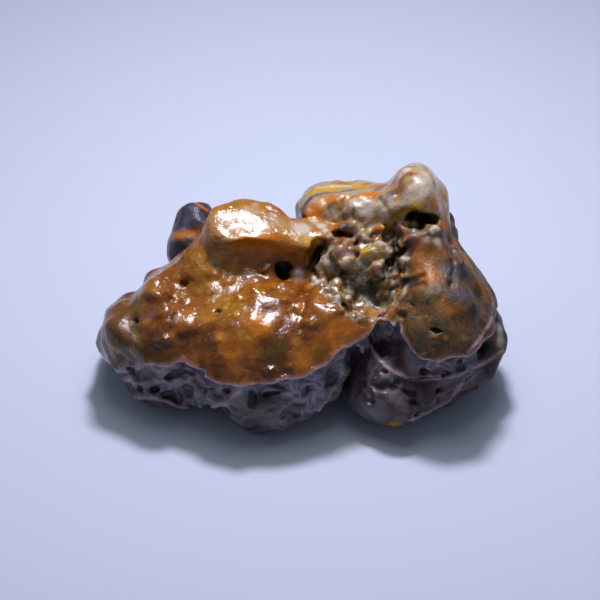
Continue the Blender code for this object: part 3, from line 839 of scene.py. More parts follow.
    creases: tuple[Vein, ...] = (
        Vein("mass border", ((10.3, 0.0), (10.4, 1.1), (11.1, 1.9), (12.4, 2.1), (13.6, 2.7)), 0.4),
        Vein("facet border", ((11.1, -2.7), (10.7, -3.8), (10.3, -5.2)), 0.3),
        Vein("mouth corner", ((12.0, 9.9), (11.1, 9.4), (10.4, 8.7), (9.8, 8.1)), 0.5),
        Vein("lump border", ((12.4, 6.4), (11.7, 5.6), (11.0, 4.9)), 0.3),
        Vein("back fold", ((16.9, 6.7), (17.4, 5.2), (17.5, 3.4), (17.1, 1.6)), 0.45),
    )
    margin: float = 0.6
    vein_blend: float = 0.3

    def knob(self, knob: Knob, out: bool, skin: np.ndarray, axes: np.ndarray) -> Placed:
        """Set a knob into the skin at a place, turned in the face and leaning with it.

        Args:
            knob: what is set.
            out: true if it stands out, false if it is cut in.
            skin: where it meets the skin.
            axes: columns across, up and out of the face.

        Returns:
            The placed knob.
        """
        centre = skin - axes[:, 2] * knob.sink
        turn = axes @ rotation((0.0, 0.0, knob.turn))

        def shape(points: np.ndarray) -> np.ndarray:
            """Distance to the turned ellipsoid, as for a lump."""
            return ellipsoid((points - centre) @ turn, knob.radii)

        reach = max(knob.radii) + knob.blend + self.margin
        return Placed(out, knob.blend, centre, np.full(3, reach), shape)

    def vein(self, vein: Vein, out: bool, path: np.ndarray) -> Placed:
        """Lay a vein along a path on the skin."""
        middle = (path.min(0) + path.max(0)) / 2.0
        half = (path.max(0) - path.min(0)) / 2.0 + vein.radius + self.vein_blend + self.margin
        return Placed(out, self.vein_blend, middle, half, line_along(path, vein.radius).distance)

    def place(self, sight: Sight, work: Field) -> Pile:
        """All of the relief: swellings and lumps first, then what is cut or laid into their skin.

        Args:
            sight: finds the skin behind a spot.
            work: signed distance to the bare stone.

        Returns:
            All of it, in order.
        """
        pile = Pile()

        def current(points: np.ndarray) -> np.ndarray:
            """Distance with what is placed so far."""
            return pile.apply(work(points), points)

        axes = sight.axes()
        for knobs, out in ((self.swellings + self.lumps, True), (self.pits, False)):
            skins = sight.meet(current, np.array([(knob.across, knob.up) for knob in knobs]))
            pile.items += [self.knob(knob, out, skin, axes) for knob, skin in zip(knobs, skins)]
        for veins, out in ((self.seams, True), (self.creases, False)):
            paths = sight.lay(current, [vein.path for vein in veins])
            pile.items += [self.vein(vein, out, path) for vein, path in zip(veins, paths)]
        return pile


@dataclass
class DressedForm:
    """The nodule with the relief of its show face."""

    form: StoneForm = field(default_factory=StoneForm)
    relief: Relief = field(default_factory=Relief)
    sight: Sight = field(default_factory=Sight)
    crystals: Pebbles = Pebbles(Cells((0.95, 0.95, 0.95), 81), 0.45, 0.42)
    ridge_height: float = 0.10
    ridge_width: float = 0.12
    grit_range: Span = (-0.6, 1.2)
    ground_edge: float = 0.05
    pile: Pile = field(default_factory=Pile)

    def __post_init__(self) -> None:
        """Set the relief on the skin."""
        self.pile = self.relief.place(self.sight, self.form.distance)

    def grit(self, points: np.ndarray) -> np.ndarray:
        """Crystal grit of the pitted hollow, how far it is let into the skin.

        Args:
            points: places in the stone's frame.

        Returns:
            Depths.
        """
        weight = smooth(-self.form.pitted.distance(points), *self.grit_range)
        depth = np.zeros(len(points))
        on = weight > 0.0
        near, second = self.crystals.cells.pair(points[on])
        ridge = self.ridge_height * np.exp(-((second - near) / self.ridge_width) ** 2)
        depth[on] = weight[on] * (self.crystals.depth * (near - self.crystals.level) - ridge)
        return depth

    def distance(self, points: np.ndarray) -> np.ndarray:
        """Signed distance to the dressed stone, its feet flat on the ground."""
        value = self.pile.apply(self.form.distance(points), points) + self.grit(points)
        return carve(value, points[..., 2], self.ground_edge)


# ---------------------------------------------------------------- skin over a distance

def in_chunks(work: Field, points: np.ndarray) -> np.ndarray:
    """Work out a field for many points, in small groups of points that lie close together.

    Args:
        work: the field.
        points: places in any order.

    Returns:
        One value per place, in the order given.
    """
    brick = np.floor(points / BRICK).astype(np.int64) + BRICK_SHIFT
    number = (brick[:, 0] << 2 * BRICK_BITS) + (brick[:, 1] << BRICK_BITS) + brick[:, 2]
    order = np.argsort(number, kind="stable")
    value = np.empty(len(points))
    for start in range(0, len(points), CHUNK):
        chosen = order[start:start + CHUNK]
        value[chosen] = work(points[chosen])
    return value


def slope(work: Field, points: np.ndarray, step: float = 0.03) -> tuple[np.ndarray, np.ndarray]:
    """Value and gradient of a field from four places around each point, a tetrahedron's corners.

    Args:
        work: the field.
        points: where it is wanted.
        step: half the width of the cube that holds the tetrahedron.

    Returns:
        The mean of the four values, and the gradient.
    """
    corners = np.array(((1, -1, -1), (-1, -1, 1), (-1, 1, -1), (1, 1, 1)), float)
    values = [in_chunks(work, points + step * corner) for corner in corners]
    grade = sum(corner * value[:, None] for corner, value in zip(corners, values))
    return sum(values) / 4.0, grade / (4.0 * step)


@dataclass(frozen=True)
class NetSkin:
    """A net of four-sided faces over the places where a distance is nought."""

    low: Vec3 = (-25.6, -14.0, -1.2)
    high: Vec3 = (25.6, 20.0, 27.0)
    cell: float = 0.25
    coarse: int = 4
    reach: float = 1.4
    settle_rounds: int = 2
    settle_limit: float = 0.12
    least_slope: float = 0.1

    def block(self, work: Field) -> np.ndarray:
        """Distances at the corners of every cell: coarse everywhere, exact near the skin.

        Args:
            work: the distance to be drawn.

        Returns:
            The block of distances.
        """
        counts = [int(np.ceil((h - l) / self.cell / self.coarse)) * self.coarse + 1
                  for l, h in zip(self.low, self.high)]
        axes = [l + self.cell * np.arange(n) for l, n in zip(self.low, counts)]
        corners = np.stack(np.meshgrid(*[a[::self.coarse] for a in axes], indexing="ij"), -1)
        block = in_chunks(work, corners.reshape(-1, 3)).reshape(corners.shape[:3])
        for axis in range(3):
            last = block.shape[axis] - 1
            at = np.arange(last * self.coarse + 1) / self.coarse
            left = np.minimum(at.astype(int), last - 1)
            part = (at - left).reshape([-1 if a == axis else 1 for a in range(3)])
            block = np.take(block, left, axis) * (1 - part) + np.take(block, left + 1, axis) * part
        near = np.argwhere(np.abs(block) < self.reach)
        places = np.stack([axes[a][near[:, a]] for a in range(3)], -1)
        block[tuple(near.T)] = in_chunks(work, places)
        return block

    def draw(self, work: Field) -> tuple[np.ndarray, np.ndarray]:
        """Net of the skin: one point per crossed cell, the mean of its edge crossings.

        Args:
            work: the distance to be drawn.

        Returns:
            Points (n, 3) and four-sided faces (m, 4), facing out.
        """
        block = self.block(work)
        shape = np.array(block.shape) - 1
        total = np.zeros((*shape, 3), np.float32)
        count = np.zeros(shape, np.int16)

        def shifted(offset: tuple[int, ...]) -> np.ndarray:
            """The block seen from one corner of every cell."""
            return block[tuple(slice(o, s + o) for o, s in zip(offset, shape))]

        for start in np.ndindex(2, 2, 2):
            for axis in range(3):
                if start[axis]:
                    continue
                end = tuple(1 if a == axis else s for a, s in enumerate(start))
                f_a, f_b = shifted(start), shifted(end)
                crossed = (f_a < 0) != (f_b < 0)
                part = np.where(crossed, f_a / np.where(crossed, f_a - f_b, 1.0), 0.0)
                for a in range(3):
                    total[..., a] += crossed * (part if a == axis else float(start[a]))
                count += crossed
        active = count > 0
        index = np.full(active.shape, -1, np.int64)
        index[active] = np.arange(active.sum())
        points = (np.argwhere(active) + total[active] / count[active][:, None]) * self.cell
        points = points + np.array(self.low)
        faces = []
        inside = block < 0
        for axis in range(3):
            first = inside[tuple(slice(0, -1) if a == axis else slice(None) for a in range(3))]
            second = inside[tuple(slice(1, None) if a == axis else slice(None) for a in range(3))]
            at = np.argwhere(first != second)
            one, two = ((1, 2), (2, 0), (0, 1))[axis]
            pair = at[:, (one, two)]
            at = at[((pair > 0) & (pair < shape[[one, two]])).all(1)]
            ring = []
            for d_one, d_two in ((-1, -1), (0, -1), (0, 0), (-1, 0)):
                cell = at.copy()
                cell[:, one] += d_one
                cell[:, two] += d_two
                ring.append(index[tuple(cell.T)])
            quad = np.stack(ring, 1)
            turned = ~first[tuple(at.T)]
            quad[turned] = quad[turned][:, ::-1]
            faces.append(quad)
        return self.settle(work, points), np.concatenate(faces)

    def settle(self, work: Field, points: np.ndarray) -> np.ndarray:
        """Move points onto the skin, a few times, by the distance over the slope.

        Args:
            work: the distance to be drawn.
            points: places near its skin.

        Returns:
            The moved points.
        """
        for _ in range(self.settle_rounds):
            value, grade = slope(work, points)
            push = grade * (value / np.maximum((grade ** 2).sum(1), self.least_slope))[:, None]
            size = np.linalg.norm(push, axis=1)[:, None]
            points = points - push * np.minimum(1.0, self.settle_limit / np.maximum(size, TINY))
        return points


# ---------------------------------------------------------------- shader maths

@dataclass(frozen=True)
class Cloud:
    """A soft cloudy number 0 to 1.

    Width is the size of one cloud in millimetres, detail how many finer layers it has, rough how
    strong they are and warp how much it is drawn out in swirls. Shift moves it, so that two clouds
    differ, and squash is how much finer it is along each axis.
    """

    width: float
    detail: float = 2.0
    rough: float = 0.5
    warp: float = 0.0
    shift: Vec3 = (0.0, 0.0, 0.0)
    squash: Vec3 = (1.0, 1.0, 1.0)


@dataclass(frozen=True)
class Patch:
    """Soft-rimmed patches where a cloud rises through a span, and how strongly they show."""

    cloud: Cloud
    span: Span
    strength: float = 1.0


@dataclass(frozen=True)
class Bands:
    """Bands: the sine of a cloud, which goes through so many radians, rising through a span."""

    cloud: Cloud
    turns: float
    span: Span
    strength: float


@dataclass(frozen=True)
class Dots:
    """Scattered dots: how far apart, how they are moved, where they fade, how strongly they show."""

    width: float
    shift: Vec3
    span: Span
    strength: float


class Wire:
    """A number on its way through a material, with the usual operators as Math nodes."""

    def __init__(self, graph: "Graph", socket: bpy.types.NodeSocket) -> None:
        """Keep the graph and the socket that the number comes from."""
        self.graph = graph
        self.socket = socket

    def _math(self, operation: str, a: object, b: object) -> "Wire":
        """One Math node on two numbers."""
        node = self.graph.node("ShaderNodeMath", {"operation": operation}, {0: a, 1: b})
        return Wire(self.graph, node.outputs[0])

    def __add__(self, other: object) -> "Wire":
        """Sum."""
        return self._math("ADD", self, other)

    __radd__ = __add__

    def __mul__(self, other: object) -> "Wire":
        """Product."""
        return self._math("MULTIPLY", self, other)

    __rmul__ = __mul__

    def __sub__(self, other: object) -> "Wire":
        """Difference."""
        return self._math("SUBTRACT", self, other)

    def __rsub__(self, other: object) -> "Wire":
        """Difference the other way round."""
        return self._math("SUBTRACT", other, self)

    def rise(self, low: float, high: float) -> "Wire":
        """Smooth step from 0 at low to 1 at high."""
        node = self.graph.node("ShaderNodeMapRange", {"interpolation_type": "SMOOTHSTEP"},
                               {0: self, 1: low, 2: high, 3: 0.0, 4: 1.0})
        return Wire(self.graph, node.outputs[0])

    def sine(self) -> "Wire":
        """Sine of the number, moved to 0 to 1."""
        return self._math("SINE", self, 0.0) * 0.5 + 0.5


class Graph:
    """One material's nodes."""

    mix_factor, mix_under, mix_over, mix_result = 0, 6, 7, 2  # sockets of the colour mix, by number

    def __init__(self, name: str) -> None:
        """Start an empty material."""
        self.material = bpy.data.materials.new(name)
        self.material.use_nodes = True
        self.tree = self.material.node_tree
        self.tree.nodes.clear()
        self._place: bpy.types.NodeSocket | None = None

    def node(self, kind: str, settings: dict[str, object], sockets: dict[object, object]) -> bpy.types.Node:
        """Add any node.

        Args:
            kind: the node's type.
            settings: its own settings, set first.
            sockets: value or link of each input, by name or number.

        Returns:
            The new node.
        """
        node = self.tree.nodes.new(kind)
        for key, value in settings.items():
            setattr(node, key, value)
        for key, value in sockets.items():
            target = node.inputs[key]
            if isinstance(value, Wire):
                self.tree.links.new(value.socket, target)
            elif isinstance(value, bpy.types.NodeSocket):
                self.tree.links.new(value, target)
            elif isinstance(value, tuple) and len(value) == 3 and target.type == "RGBA":
                target.default_value = (*value, 1.0)
            else:
                target.default_value = value
        return node

    def place(self) -> bpy.types.NodeSocket:
        """Object coordinates in millimetres.

        Returns:
            The socket that gives them, made once.
        """
        if self._place is None:
            coordinate = self.node("ShaderNodeTexCoord", {}, {}).outputs["Object"]
            scaled = self.node("ShaderNodeVectorMath", {"operation": "SCALE"},
                               {0: coordinate, "Scale": 1.0 / MM})
            self._place = scaled.outputs[0]
        return self._place

    def along(self, axis: str) -> Wire:
        """Millimetres along one axis of the object."""
        return Wire(self, self.node("ShaderNodeSeparateXYZ", {}, {0: self.place()}).outputs[axis])

    def attribute(self, name: str) -> Wire:
        """A number kept on the mesh."""
        return Wire(self, self.node("ShaderNodeAttribute", {"attribute_name": name}, {}).outputs["Fac"])

    def noise(self, cloud: Cloud) -> Wire:
        """Soft cloudy number 0 to 1.

        Args:
            cloud: its settings.

        Returns:
            The number.
        """
        mapped = self.node("ShaderNodeMapping", {},
                           {"Vector": self.place(), "Location": cloud.shift, "Scale": cloud.squash})
        node = self.node("ShaderNodeTexNoise", {},
                         {"Vector": mapped.outputs[0], "Scale": 1.0 / cloud.width, "Detail": cloud.detail,
                          "Roughness": cloud.rough, "Distortion": cloud.warp})
        return Wire(self, node.outputs["Fac"])

    def patch(self, patch: Patch) -> Wire:
        """0 between the patches, 1 in them."""
        return self.noise(patch.cloud).rise(*patch.span)

    def bands(self, bands: Bands) -> Wire:
        """0 between the bands, 1 in them."""
        return (self.noise(bands.cloud) * bands.turns).sine().rise(*bands.span)

    def dots(self, dots: Dots) -> Wire:
        """0 in the middle of each dot, 1 between the dots."""
        mapped = self.node("ShaderNodeMapping", {}, {"Vector": self.place(), "Location": dots.shift})
        node = self.node("ShaderNodeTexVoronoi", {"feature": "F1"},
                         {"Vector": mapped.outputs[0], "Scale": 1.0 / dots.width})
        return Wire(self, node.outputs["Distance"]).rise(*dots.span)

    def mix(self, under: object, over: object, factor: object) -> bpy.types.NodeSocket:
        """Lay one colour over another."""
        node = self.node("ShaderNodeMix", {"data_type": "RGBA", "clamp_factor": True},
                         {self.mix_factor: factor, self.mix_under: under, self.mix_over: over})
        return node.outputs[self.mix_result]

    def ramp(self, factor: Wire, stops: Stops) -> bpy.types.NodeSocket:
        """Colours at places along 0 to 1.

        Args:
            factor: which place is wanted.
            stops: places and their colours, in order.

        Returns:
            The colour.
        """
        node = self.node("ShaderNodeValToRGB", {}, {0: factor})
        elements = node.color_ramp.elements
        elements[0].position, elements[0].color = stops[0][0], (*stops[0][1], 1.0)
        elements[1].position, elements[1].color = stops[-1][0], (*stops[-1][1], 1.0)
        for at, colour in stops[1:-1]:
            elements.new(at).color = (*colour, 1.0)
        return node.outputs["Color"]


# ---------------------------------------------------------------- the stone's colours

class Zone(Enum):
    """Kinds of chalcedony on the stone, each with a weight at every point of the skin."""

    AMBER = "amber"
    MASS = "mass"
    BANDED = "banded"
    FIN = "fin"
    PITTED = "pitted"
    WALL = "wall"
    LOBE = "lobe"


class Mark(Enum):
    """Other numbers kept on the skin."""

    # openness: low in hollows, where it sets the painted shade
    OPEN = "open"
    LIP = "lip"
    LACE = "lace"


class Paint(Enum):
    """Tints laid in soft patches over the kinds of chalcedony."""

    TAN = "tan"
    ROSE = "rose"
    OLIVE = "olive"
    SLATE = "slate"
    ORANGE = "orange"
    GOLD = "gold"
    CREAM = "cream"
    # the stone's own dark spots, and painted shade in the mouth, caves, gaps and recesses
    SOOT = "soot"


@dataclass(frozen=True)
class Stain:
    """A soft round patch of colour at a spot of the show face."""

    across: float
    up: float
    size: float
    strength: float


@dataclass(frozen=True)
class Streak:
    """A soft streak of colour along a path over the show face."""

    paint: Paint
    path: Line
    size: float
    strength: float


@dataclass(frozen=True)
class Stains:
    """Where the show face is tinted: rows of stains for each tint, and the streaks."""

    patches: dict[Paint, tuple[Row, ...]] = field(default_factory=lambda: {
        Paint.ORANGE: (
            (-4.3, -2.5, 0.9, 1), (-4.7, -3.1, 1.7, 0.5), (-8.9, -3.9, 0.9, 0.6), (-7.3, -5.8, 1.6, 0.5),
            (0.0, -6.7, 1.9, 0.55), (3.6, -4.0, 1.7, 0.5), (0.0, -0.6, 0.6, 0.9),
            (-17.3, -2.5, 0.9, 0.5), (-21.4, -4.4, 2.2, 0.32), (-21.2, -1.6, 1.6, 0.3),
            (5.4, -3.4, 1.6, 0.4), (8.6, -1.6, 1.4, 0.6), (10.2, -1.2, 0.9, 0.5), (1.6, 9.9, 1.2, 0.9),
            (7.4, 11.9, 0.9, 0.5), (-3.1, 1.7, 0.9, 0.4), (1.2, 1.6, 0.7, 0.7), (10.7, -14.0, 0.9, 0.9),
            # the orange rows at up 5.8 to 6.8, across -7 to -1, under the brow: its orange, and partly
            # painted light that brightens the recess where it lies in shade
            (13.6, 5.0, 2.2, 0.46), (14.8, 2.6, 1.6, 0.42), (-5.8, 6.8, 1.6, 0.6), (-3.4, 6.7, 1.4, 0.6),
            (-1.0, 6.0, 1.1, 0.5), (16.2, 8.4, 1.0, 0.5), (12.6, 1.0, 1.4, 0.3), (15.6, -1.0, 1.6, 0.25),
            (-2.4, 5.8, 1.3, 0.8), (-4.8, 5.8, 1.5, 1.0), (-7.0, 5.8, 1.4, 0.7), (22.2, -4.6, 0.8, 0.45),
            (15.2, 10.6, 1.1, 0.9), (16.2, 11.6, 1.2, 0.5), (-10.7, -5.6, 1.3, 0.3),
            (16.9, -1.1, 1.0, 0.3)),
        Paint.GOLD: (
            (-7.1, -1.5, 0.4, 1), (-8.4, -0.8, 0.4, 0.7), (-0.4, -4.6, 1.0, 0.4), (1.3, 6.5, 0.9, 0.9),
            (7.2, 5.3, 0.9, 0.9), (8.8, 4.8, 0.8, 0.7), (-21.3, -5.2, 0.7, 0.5), (-20.4, -5.8, 0.6, 0.4),
            (12.9, 10.6, 0.9, 0.4), (16.4, -4.3, 0.4, 0.6), (13.5, -2.0, 0.6, 0.4), (7.0, 8.2, 0.6, 0.5),
            (6.5, 3.6, 0.4, 0.6), (-7.9, 2.8, 1.5, 0.25), (-14.4, -4.0, 0.9, 0.3), (8.8, -1.8, 0.6, 0.4),
            (11.2, -2.0, 0.6, 0.5), (9.4, 2.0, 0.6, 0.5), (-5.6, 4.3, 1.0, 0.3)),
        Paint.OLIVE: (
            (-21.6, -3.6, 3.8, 0.42), (-20.6, -0.6, 3.0, 0.36), (-20.6, -6.4, 2.4, 0.30),
            (-2.8, -5.3, 1.9, 0.65), (-7.2, -7.4, 1.6, 0.4), (-13.0, -0.1, 1.0, 0.4),
            (2.2, 1.3, 1.0, 0.3), (13.5, -3.4, 1.9, 0.6), (18.2, -4.0, 1.6, 0.6), (4.8, 9.4, 0.9, 0.7),
            (9.4, 1.6, 1.3, 0.9), (9.9, 0.2, 0.9, 0.8), (11.2, 5.6, 0.7, 0.6), (14.6, 1.1, 1.1, 0.4),
            (5.6, -4.5, 1.3, 0.35), (21.9, -5.8, 0.9, 0.5), (7.4, 6.4, 0.8, 0.5),
            (-10.7, 3.6, 1.3, 0.25), (9.9, -2.2, 0.9, 0.5)),
        # soot rows: the dark spots of the slab, the dark patches of the mass and the darker lobe are the
        # stone's own; the rows in the cave, slots, gaps, mouth, pockets and wall hollows are painted shade
        Paint.SOOT: (
            (-21.2, -3.2, 3.0, 0.38), (-13.1, 1.9, 0.4, 0.9), (-9.2, -1.3, 0.4, 0.9),
            (-18.4, -2.5, 0.4, 0.8), (-14.5, 0.1, 0.4, 0.6), (18.1, 2.9, 1.0, 0.8),
            (19.9, 1.0, 1.0, 0.8), (19.6, -1.3, 1.0, 0.7), (12.9, 1.8, 0.9, 0.9), (11.8, 2.2, 0.7, 0.8),
            (3.4, 5.1, 0.8, 0.6), (2.0, 4.8, 1.0, 1.0), (1.4, 3.6, 0.8, 1.0), (2.6, 5.8, 0.8, 1.0),
            (2.8, 6.4, 0.6, 0.8), (7.9, 1.0, 1.0, 0.6), (8.7, -0.4, 0.9, 0.6), (6.2, 0.2, 0.8, 0.5),
            (5.1, 1.7, 0.6, 0.6), (6.5, 1.1, 0.7, 0.6), (8.1, 1.3, 0.7, 0.6), (9.7, 4.2, 0.6, 0.9),
            (10.8, 4.8, 0.6, 0.9), (4.8, 7.4, 0.7, 0.9), (13.5, 9.4, 1.0, 1), (14.7, 9.0, 0.9, 1),
            (12.4, 9.4, 0.6, 1), (13.9, 8.1, 0.4, 0.9), (10.6, 8.5, 0.4, 0.8), (5.6, -7.4, 1.0, 0.8),
            (7.1, -8.0, 1.0, 0.5), (20.8, -5.1, 0.8, 0.9), (20.2, -6.3, 0.7, 0.9),
            (9.3, -5.5, 0.7, 0.95), (6.7, -5.8, 0.7, 0.8), (-16.9, -11.7, 1.1, 0.6),
            (-14.4, -10.8, 0.8, 0.8), (-16.2, -9.9, 1.0, 0.5), (17.4, -2.5, 0.9, 0.35),
            (8.8, -9.8, 0.8, 0.5), (-4.7, -14.4, 1.1, 0.4)),
        Paint.CREAM: (
            # the cream rows on the snout and back band (across 5 to 14.2, up 10.2 to 13.2): their milky
            # tone, and partly a painted highlight in place of a gleam
            (12.0, 14.7, 0.6, 1), (11.2, 13.9, 0.6, 0.5), (13.6, 13.2, 0.8, 0.6), (14.2, 12.2, 0.5, 0.6),
            (8.0, 10.4, 0.6, 0.5), (10.2, 11.0, 0.7, 0.5), (5.0, 10.2, 0.6, 0.5), (9.2, 9.6, 0.5, 0.5),
            (1.5, 8.9, 0.6, 0.7), (2.4, 8.3, 0.6, 0.9), (2.9, 7.8, 0.4, 0.8), (1.8, 2.2, 0.62, 1.3),
            (-0.2, 3.0, 0.9, 0.8), (4.3, 11.3, 0.4, 0.5), (16.4, 10.7, 0.4, 0.8), (22.3, -3.0, 1.0, 0.5),
            (22.6, -4.8, 0.9, 0.45), (14.8, 7.6, 0.4, 0.5), (12.7, 8.5, 0.3, 0.8), (10.4, 6.6, 0.4, 0.5),
            (-5.1, 10.7, 0.7, 0.4), (-20.8, -9.2, 1.2, 0.2), (7.4, 4.3, 0.6, 0.4), (11.5, 4.2, 0.3, 0.5),
            (-0.6, 8.3, 0.9, 0.3)),
        Paint.ROSE: (
            (11.3, 8.4, 0.7, 0.9), (10.6, 7.5, 0.7, 0.8), (12.1, 6.7, 0.8, 0.7), (13.5, 6.3, 0.8, 0.6),
            (5.3, 6.0, 0.7, 0.8), (4.5, 5.2, 0.6, 0.7), (7.4, 10.2, 0.8, 0.4), (9.1, 12.7, 0.8, 0.7),
            (10.3, 13.3, 0.7, 0.5), (-0.6, 9.0, 1.3, 0.45), (-3.0, 10.6, 1.2, 0.35),
            (-2.0, 4.6, 1.2, 0.4), (3.4, 6.4, 0.4, 0.6), (12.7, 5.4, 0.7, 0.6), (-17.9, -2.0, 0.8, 0.5),
            (-16.6, -1.6, 0.6, 0.6), (14.6, -9.7, 1.1, 0.4), (16.4, -10.8, 1.1, 0.5),
            (-6.7, -11.9, 1.3, 0.4), (-1.1, -13.6, 1.3, 0.3), (-11.6, -7.5, 0.6, 0.5),
            (2.5, 4.3, 0.7, 0.4)),
        Paint.SLATE: (
            (0.4, 10.1, 0.4, 0.8), (-0.1, 9.4, 0.4, 0.9), (5.1, 8.3, 0.6, 0.8), (17.8, 5.2, 0.8, 0.6),
            (20.2, 2.6, 0.7, 0.6), (16.6, 3.4, 1.3, 0.5), (18.4, 3.2, 1.3, 0.6), (18.6, 0.4, 1.3, 0.6),
            (16.9, 1.0, 1.1, 0.4), (13.0, 12.3, 0.8, 0.4), (10.4, 12.0, 0.8, 0.6), (9.6, 11.2, 0.6, 0.5),
            (20.4, -0.2, 0.7, 0.5), (22.2, -2.9, 0.8, 0.8), (11.2, -5.6, 1.0, 0.7),
            (14.4, -7.4, 1.5, 0.5), (0.0, -10.3, 1.3, 0.4), (-10.7, -10.4, 1.0, 0.5),
            (10.3, -11.0, 1.0, 0.4)),
        Paint.TAN: (
            (-5.6, 9.8, 1.5, 0.4), (-2.8, 8.9, 1.5, 0.45), (0.4, 7.9, 1.2, 0.5), (-6.7, 7.9, 1.1, 0.4),
            (-8.3, 6.2, 1.3, 0.3), (-9.6, 4.3, 1.3, 0.3), (-7.9, 1.1, 1.1, 0.3), (13.5, 12.4, 1.3, 1.0),
            (14.2, 13.8, 1.0, 0.9), (12.1, 11.2, 1.0, 0.7), (7.4, 10.2, 1.2, 0.8), (6.2, 11.0, 0.9, 0.7),
            (9.6, 11.2, 1.1, 0.7), (15.3, 8.3, 0.7, 0.6), (15.5, 6.5, 0.9, 0.5), (-16.2, 1.2, 1.0, 0.3),
            (9.6, 9.6, 0.7, 0.5), (5.6, 9.1, 0.7, 0.4), (5.2, 4.2, 0.7, 0.5), (8.1, 8.0, 0.7, 0.5),
            (0.1, 8.1, 0.9, 0.6), (8.4, 4.3, 0.7, 0.5), (3.1, 3.6, 0.7, 0.4)),
    })
    streaks: tuple[Streak, ...] = (
        Streak(Paint.GOLD, ((0.6, 11.3), (1.2, 12.1), (2.8, 12.5), (5.1, 12.7), (7.3, 12.7)), 0.5, 0.95),
        Streak(Paint.CREAM, ((2.0, 12.6), (3.9, 12.8), (5.6, 12.8)), 0.3, 0.6),
        Streak(Paint.SLATE, ((1.2, 11.5), (2.5, 12.0), (4.3, 12.1), (5.8, 12.4), (7.2, 12.7)), 0.42, 0.62),
        Streak(Paint.ORANGE, ((2.6, 11.3), (5.1, 11.5), (7.0, 11.8), (8.8, 12.0)), 0.5, 0.75),
        Streak(Paint.OLIVE, ((9.0, 11.6), (9.7, 10.8), (10.2, 9.9)), 0.4, 0.7),
        Streak(Paint.OLIVE, ((6.0, 10.4), (5.9, 9.4), (6.4, 8.6)), 0.3, 0.6),
        Streak(Paint.OLIVE, ((3.1, 10.6), (3.5, 9.6), (3.9, 8.9)), 0.3, 0.5),
        Streak(Paint.ROSE, ((7.9, 12.0), (9.2, 12.7), (10.7, 13.4)), 0.3, 0.8),
        Streak(Paint.SLATE, ((0.0, 9.2), (0.4, 10.3), (1.0, 11.3)), 0.3, 0.8),
        Streak(Paint.ORANGE, ((-15.3, 7.1), (-13.3, 7.3), (-10.9, 7.8)), 0.8, 0.62),
        Streak(Paint.ORANGE, ((-11.9, 11.0), (-10.8, 10.3), (-9.7, 9.8)), 0.3, 0.7),
        Streak(Paint.ORANGE, ((17.4, 6.3), (18.7, 4.7), (19.7, 2.9), (20.7, 0.9), (21.0, 0.0)), 0.7, 0.42),
        Streak(Paint.ROSE, ((15.7, 13.9), (16.5, 12.4), (16.9, 10.6)), 0.3, 0.6),
        Streak(Paint.GOLD, ((10.8, 9.3), (11.9, 10.1), (13.2, 10.5)), 0.5, 0.8),
        Streak(Paint.ORANGE, ((8.2, 7.8), (9.3, 8.1), (10.2, 8.9), (11.2, 9.6)), 0.45, 0.9),
        Streak(Paint.GOLD, ((-1.2, 6.9), (0.2, 6.8), (2.0, 6.6)), 0.3, 0.5),
        Streak(Paint.OLIVE, ((-18.4, 0.3), (-18.1, -1.1), (-18.7, -3.1), (-18.4, -4.9), (-17.8, -6.7)),
               0.6, 0.6),
    )

    def weights(self, points: np.ndarray, sight: Sight, work: Field) -> dict[Paint, np.ndarray]:
        """Bell curves of the distance to every patch and streak, added up for each tint.

        Args:
            points: places on the skin.
            sight: finds the skin behind a spot.
            work: signed distance to the stone.

        Returns:
            One weight per tint and point.
        """
        stains = [(paint, Stain(*row)) for paint, rows in self.patches.items() for row in rows]
        centres = sight.meet(work, np.array([(stain.across, stain.up) for _, stain in stains]))
        total = {paint: np.zeros(len(points)) for paint in Paint}
        for (paint, stain), centre in zip(stains, centres):
            gap = ((points - centre) ** 2).sum(-1)
            total[paint] += stain.strength * np.exp(-gap / stain.size ** 2)
        paths = sight.lay(work, [streak.path for streak in self.streaks])
        for streak, path in zip(self.streaks, paths):
            gap = line_along(path, 0.0).distance(points)
            total[streak.paint] += streak.strength * np.exp(-(gap / streak.size) ** 2)
        return total


